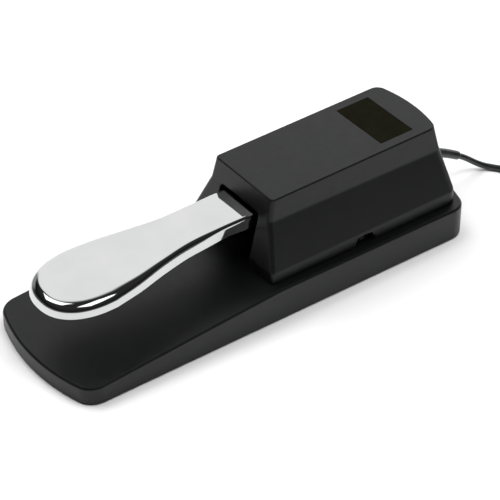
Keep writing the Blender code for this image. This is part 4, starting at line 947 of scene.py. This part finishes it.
def blank_label(materials):
    bm = bevel(roof_slab(0.0, PLATE_DEPTH, PLATE_PROUD), PLATE_EDGE, 2)
    settle(to_object("blank_label", bm), "base", materials["label_black"], ["name_plate"])


# ---------------------------------------------------------------- lever


def lever_top(y):
    y = min(y, 0.0)
    return LEVER_TOP_Z + LEVER_RISE * y - LEVER_ARCH * y * y


def lever_outline():
    """Plan outline: a superellipse nose, a smooth waist and a narrower arm with a square end."""
    half = []
    steps = 48
    for i in range(steps + 1):
        angle = math.pi / 2 * i / steps
        x = NOSE_HALF_WIDTH * math.sin(angle) ** (2 / NOSE_POWER)
        y = NOSE_Y - NOSE_LENGTH * math.cos(angle) ** (2 / NOSE_POWER)
        half.append((x, y))
    waist = smooth_line([(x, y, 0) for y, x in WAIST], 0.0020)
    half += [(p.x, p.y) for p in waist[1:]]
    half += [(ARM_HALF_WIDTH, ARM_END_Y - ARM_END_BOW), (0.0, ARM_END_Y)]
    return mirrored(half)


def half_width_at(side, y):
    """Half width at a place along the lever, between the points of its right side."""
    for (xa, ya), (xb, yb) in zip(side, side[1:]):
        if ya <= y <= yb:
            return xa + (xb - xa) * (y - ya) / (yb - ya)
    return side[-1][0]


def blended(first, second, share):
    return tuple(a + (b - a) * share for a, b in zip(first, second))


def rim_at(y):
    """Reach and drop of the rounded rim at a place along the lever."""
    return blended(blended(NOSE_RIM, WAIST_RIM, smoothstep(-0.098, -0.052, y)), ARM_RIM,
                   smoothstep(-0.040, -0.022, y))


def lever_depth(y):
    ahead, inside = LEVER_DEPTHS
    return ahead + (inside - ahead) * smoothstep(-0.030, 0.0, y)


def flare_at(y, drop):
    """How far the side stands out at a depth below the top, because it leans."""
    return LEVER_FLARE * (1 - smoothstep(-0.032, -0.012, y)) * drop / lever_depth(y)


def crowned(x, y, drop=0.0):
    return lever_top(y) - x * x / (2 * CROWN_RADIUS) - drop


def lever_skin():
    """Rings up the side, each one point for point with the outline, then a grid across the top."""
    outline = lever_outline()
    bm = bmesh.new()
    loops = []
    for rise, inward in quarter(LEVER_FOOT, 4):
        moved = inset(outline, lambda x, y: inward - flare_at(y, lever_depth(y) - rise))
        loops.append(ring(bm, [(x, y, crowned(x, y, lever_depth(y0) - rise))
                               for (x, y), (_, y0) in zip(moved, outline)]))
    rim_steps = 24
    for step in range(rim_steps + 1):
        turn = math.pi / 2 * step / rim_steps
        inner = 1 - math.cos(turn) ** (2 / RIM_POWER)
        fall = 1 - math.sin(turn) ** (2 / RIM_POWER)
        moved = inset(outline, lambda x, y: rim_at(y)[0] * inner - flare_at(y, rim_at(y)[1] * fall))
        loops.append(ring(bm, [(x, y, crowned(x, y, rim_at(y0)[1] * fall))
                               for (x, y), (_, y0) in zip(moved, outline)]))
    for low, high in zip(loops, loops[1:]):
        bridge(bm, low, high)
    ladder(bm, loops[0])

    top, count, columns = loops[-1], len(loops[-1]), 16
    rungs = [[top[0]] * (columns + 1)]
    for i in range(1, count // 2):
        right, left = top[i], top[count - i]
        middle = [bm.verts.new((x, right.co.y, crowned(x, right.co.y)))
                  for x in (right.co.x + (left.co.x - right.co.x) * j / columns for j in range(1, columns))]
        rungs.append([right, *middle, left])
    rungs.append([top[count // 2]] * (columns + 1))
    for first, second in zip(rungs, rungs[1:]):
        for j in range(columns):
            corners = (first[j], first[j + 1], second[j + 1], second[j])
            bm.faces.new(tuple(dict.fromkeys(corners)))
    return bm


def lever_pockets():
    """The spaces underneath, one on each side of the spine between each pair of ribs."""
    side = [p for p in inset(lever_outline(), POCKET_WALL) if p[0] > 0 and p[1] < 0]
    pockets = bmesh.new()
    for front, rear in zip(LEVER_RIBS, LEVER_RIBS[1:]):
        for mirror in (-1, 1):
            rows = []
            for step in range(9):
                y = front + SPINE / 2 + (rear - front - SPINE) * step / 8
                wide = half_width_at(side, y)
                rows.append([(mirror * x, y, lever_top(y) - z) for x, z in (
                    (SPINE / 2, POCKET_REACH), (wide, POCKET_REACH), (wide, LEVER_SKIN),
                    (SPINE / 2, LEVER_SKIN))])
            loft(rows, pockets)
    return pockets


def chrome_lever(materials):
    lever = to_object("chrome_lever", lever_skin())
    pivot = (0, PIVOT_Y, PIVOT_Z)
    end, radius, edge = BARREL_HALF_LENGTH, BARREL_RADIUS, BARREL_EDGE
    barrel = ((-end, radius - edge), (-end + edge, radius), (end - edge, radius), (end, radius - edge))
    cut(lever, turned(barrel, pivot, axis="X", count=FINE), "UNION")
    cut(lever, turned(((-0.03, BARREL_BORE), (0.03, BARREL_BORE)), pivot, axis="X", count=FINE))
    cut(lever, cylinders(((0, SPRING_Y),), CAP_HOLE, 0.03, CAP_HOLE_TOP_Z))
    cut(lever, lever_pockets())
    settle(lever, "pedal", materials["chrome_plate"], ["pedal_lever"], 40)


def coil_spring(materials):
    """The return spring: an even wire with closed ends."""
    per_turn = 32
    steps = int(SPRING_TURNS * per_turn)
    low, high = SPRING_LOW_Z + SPRING_WIRE, SPRING_HIGH_Z - SPRING_WIRE
    free = high - low - 4 * SPRING_WIRE
    line = []
    for i in range(steps + 1):
        turn = i / per_turn
        closed = min(turn, 1.0) + 1 - min(SPRING_TURNS - turn, 1.0)
        rise = min(max((turn - 1) / (SPRING_TURNS - 2), 0.0), 1.0)
        angle = 2 * math.pi * turn
        line.append(Vector((SPRING_RADIUS * math.cos(angle), SPRING_Y + SPRING_RADIUS * math.sin(angle),
                            low + 2 * SPRING_WIRE * closed + free * rise)))
    obj = to_object("coil_spring", swept(line, [SPRING_WIRE] * len(line), 14))
    settle(obj, "base", materials["zinc_steel"], ["return_spring"], 50)
    obj.modifiers.clear()
    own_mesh(obj)


# ---------------------------------------------------------------- small pieces


def ridged_slider(materials):
    """The polarity switch's slider: a small block with three finger ridges."""
    low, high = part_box("polarity_slider")
    obj = to_object("ridged_slider", bevel(box(low[0], high[0], low[1], high[1], low[2], high[2]), 0.0003))
    groove, pitch, depth, past = 0.00035, 0.0007, 0.0004, 0.001
    grooves = bmesh.new()
    for i in (-1, 1):
        y = (low[1] + high[1]) / 2 + i * pitch
        box(high[0] - depth, high[0] + past, y - groove / 2, y + groove / 2, low[2] - past, high[2] + past,
            grooves)
    cut(obj, grooves)
    settle(obj, "slider", materials["switch_case"], ["polarity_slider"])


def cross_head_screw(name, node, materials):
    """A pan head screw seen from below, with a cross recess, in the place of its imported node."""
    low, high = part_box(node)
    x, y = (low[0] + high[0]) / 2, (low[1] + high[1]) / 2
    head, bottom, tip = (high[0] - low[0]) / 2, low[2], high[2]
    height = HEAD_HEIGHT_COVER if "cover" in name else HEAD_HEIGHT_PLATE
    profile = [(0.0, 0.0001), (0.0, head * 0.60), (height * 0.25, head * 0.88), (height * 0.55, head),
               (height, head), (height, SHANK)]
    for i in range(int((tip - bottom - height - SHANK) / THREAD_PITCH)):
        z = height + THREAD_PITCH * i
        for up, share in ((0.2, 1), (0.5, ROOT), (0.8, ROOT)):
            profile.append((z + THREAD_PITCH * up, SHANK * share))
    profile += [(tip - bottom - SHANK, SHANK), (tip - bottom, 0.0003)]
    obj = to_object(name, turned(profile, (x, y, bottom)))
    arm, half = head * 0.55, head * 0.11
    for wide, deep in ((arm, half), (half, arm)):
        cut(obj, box(x - wide, x + wide, y - deep, y + deep, bottom - 0.001, bottom + height * 0.55))
    settle(obj, "base", materials["zinc_steel"], [node])


def dress_packed_nodes(materials):
    """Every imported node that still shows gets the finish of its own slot."""
    for part in frame["record"]["subparts"]:
        obj = frame["nodes"][part["node"]]
        if not obj.hide_render:
            obj.data.materials.clear()
            obj.data.materials.append(materials[part["material_slot"]])


def main():
    bpy.context.scene.view_settings.view_transform = "Standard"
    materials = make_materials()
    camera()
    cord = lead(materials)
    relief = strain_relief(materials)
    strap = coil_tie(materials)
    plug = jack_plug(materials)
    studio()
    floor()
    base_moulding(materials)
    ribbed_mat(materials)
    cover_moulding(materials)
    blank_label(materials)
    chrome_lever(materials)
    coil_spring(materials)
    ridged_slider(materials)
    for number in range(1, 5):
        cross_head_screw(f"cover_bolt_{number}", f"cover_screw_{number}", materials)
        cross_head_screw(f"plate_bolt_{number}", f"plate_screw_{number}", materials)
    dress_packed_nodes(materials)


main()
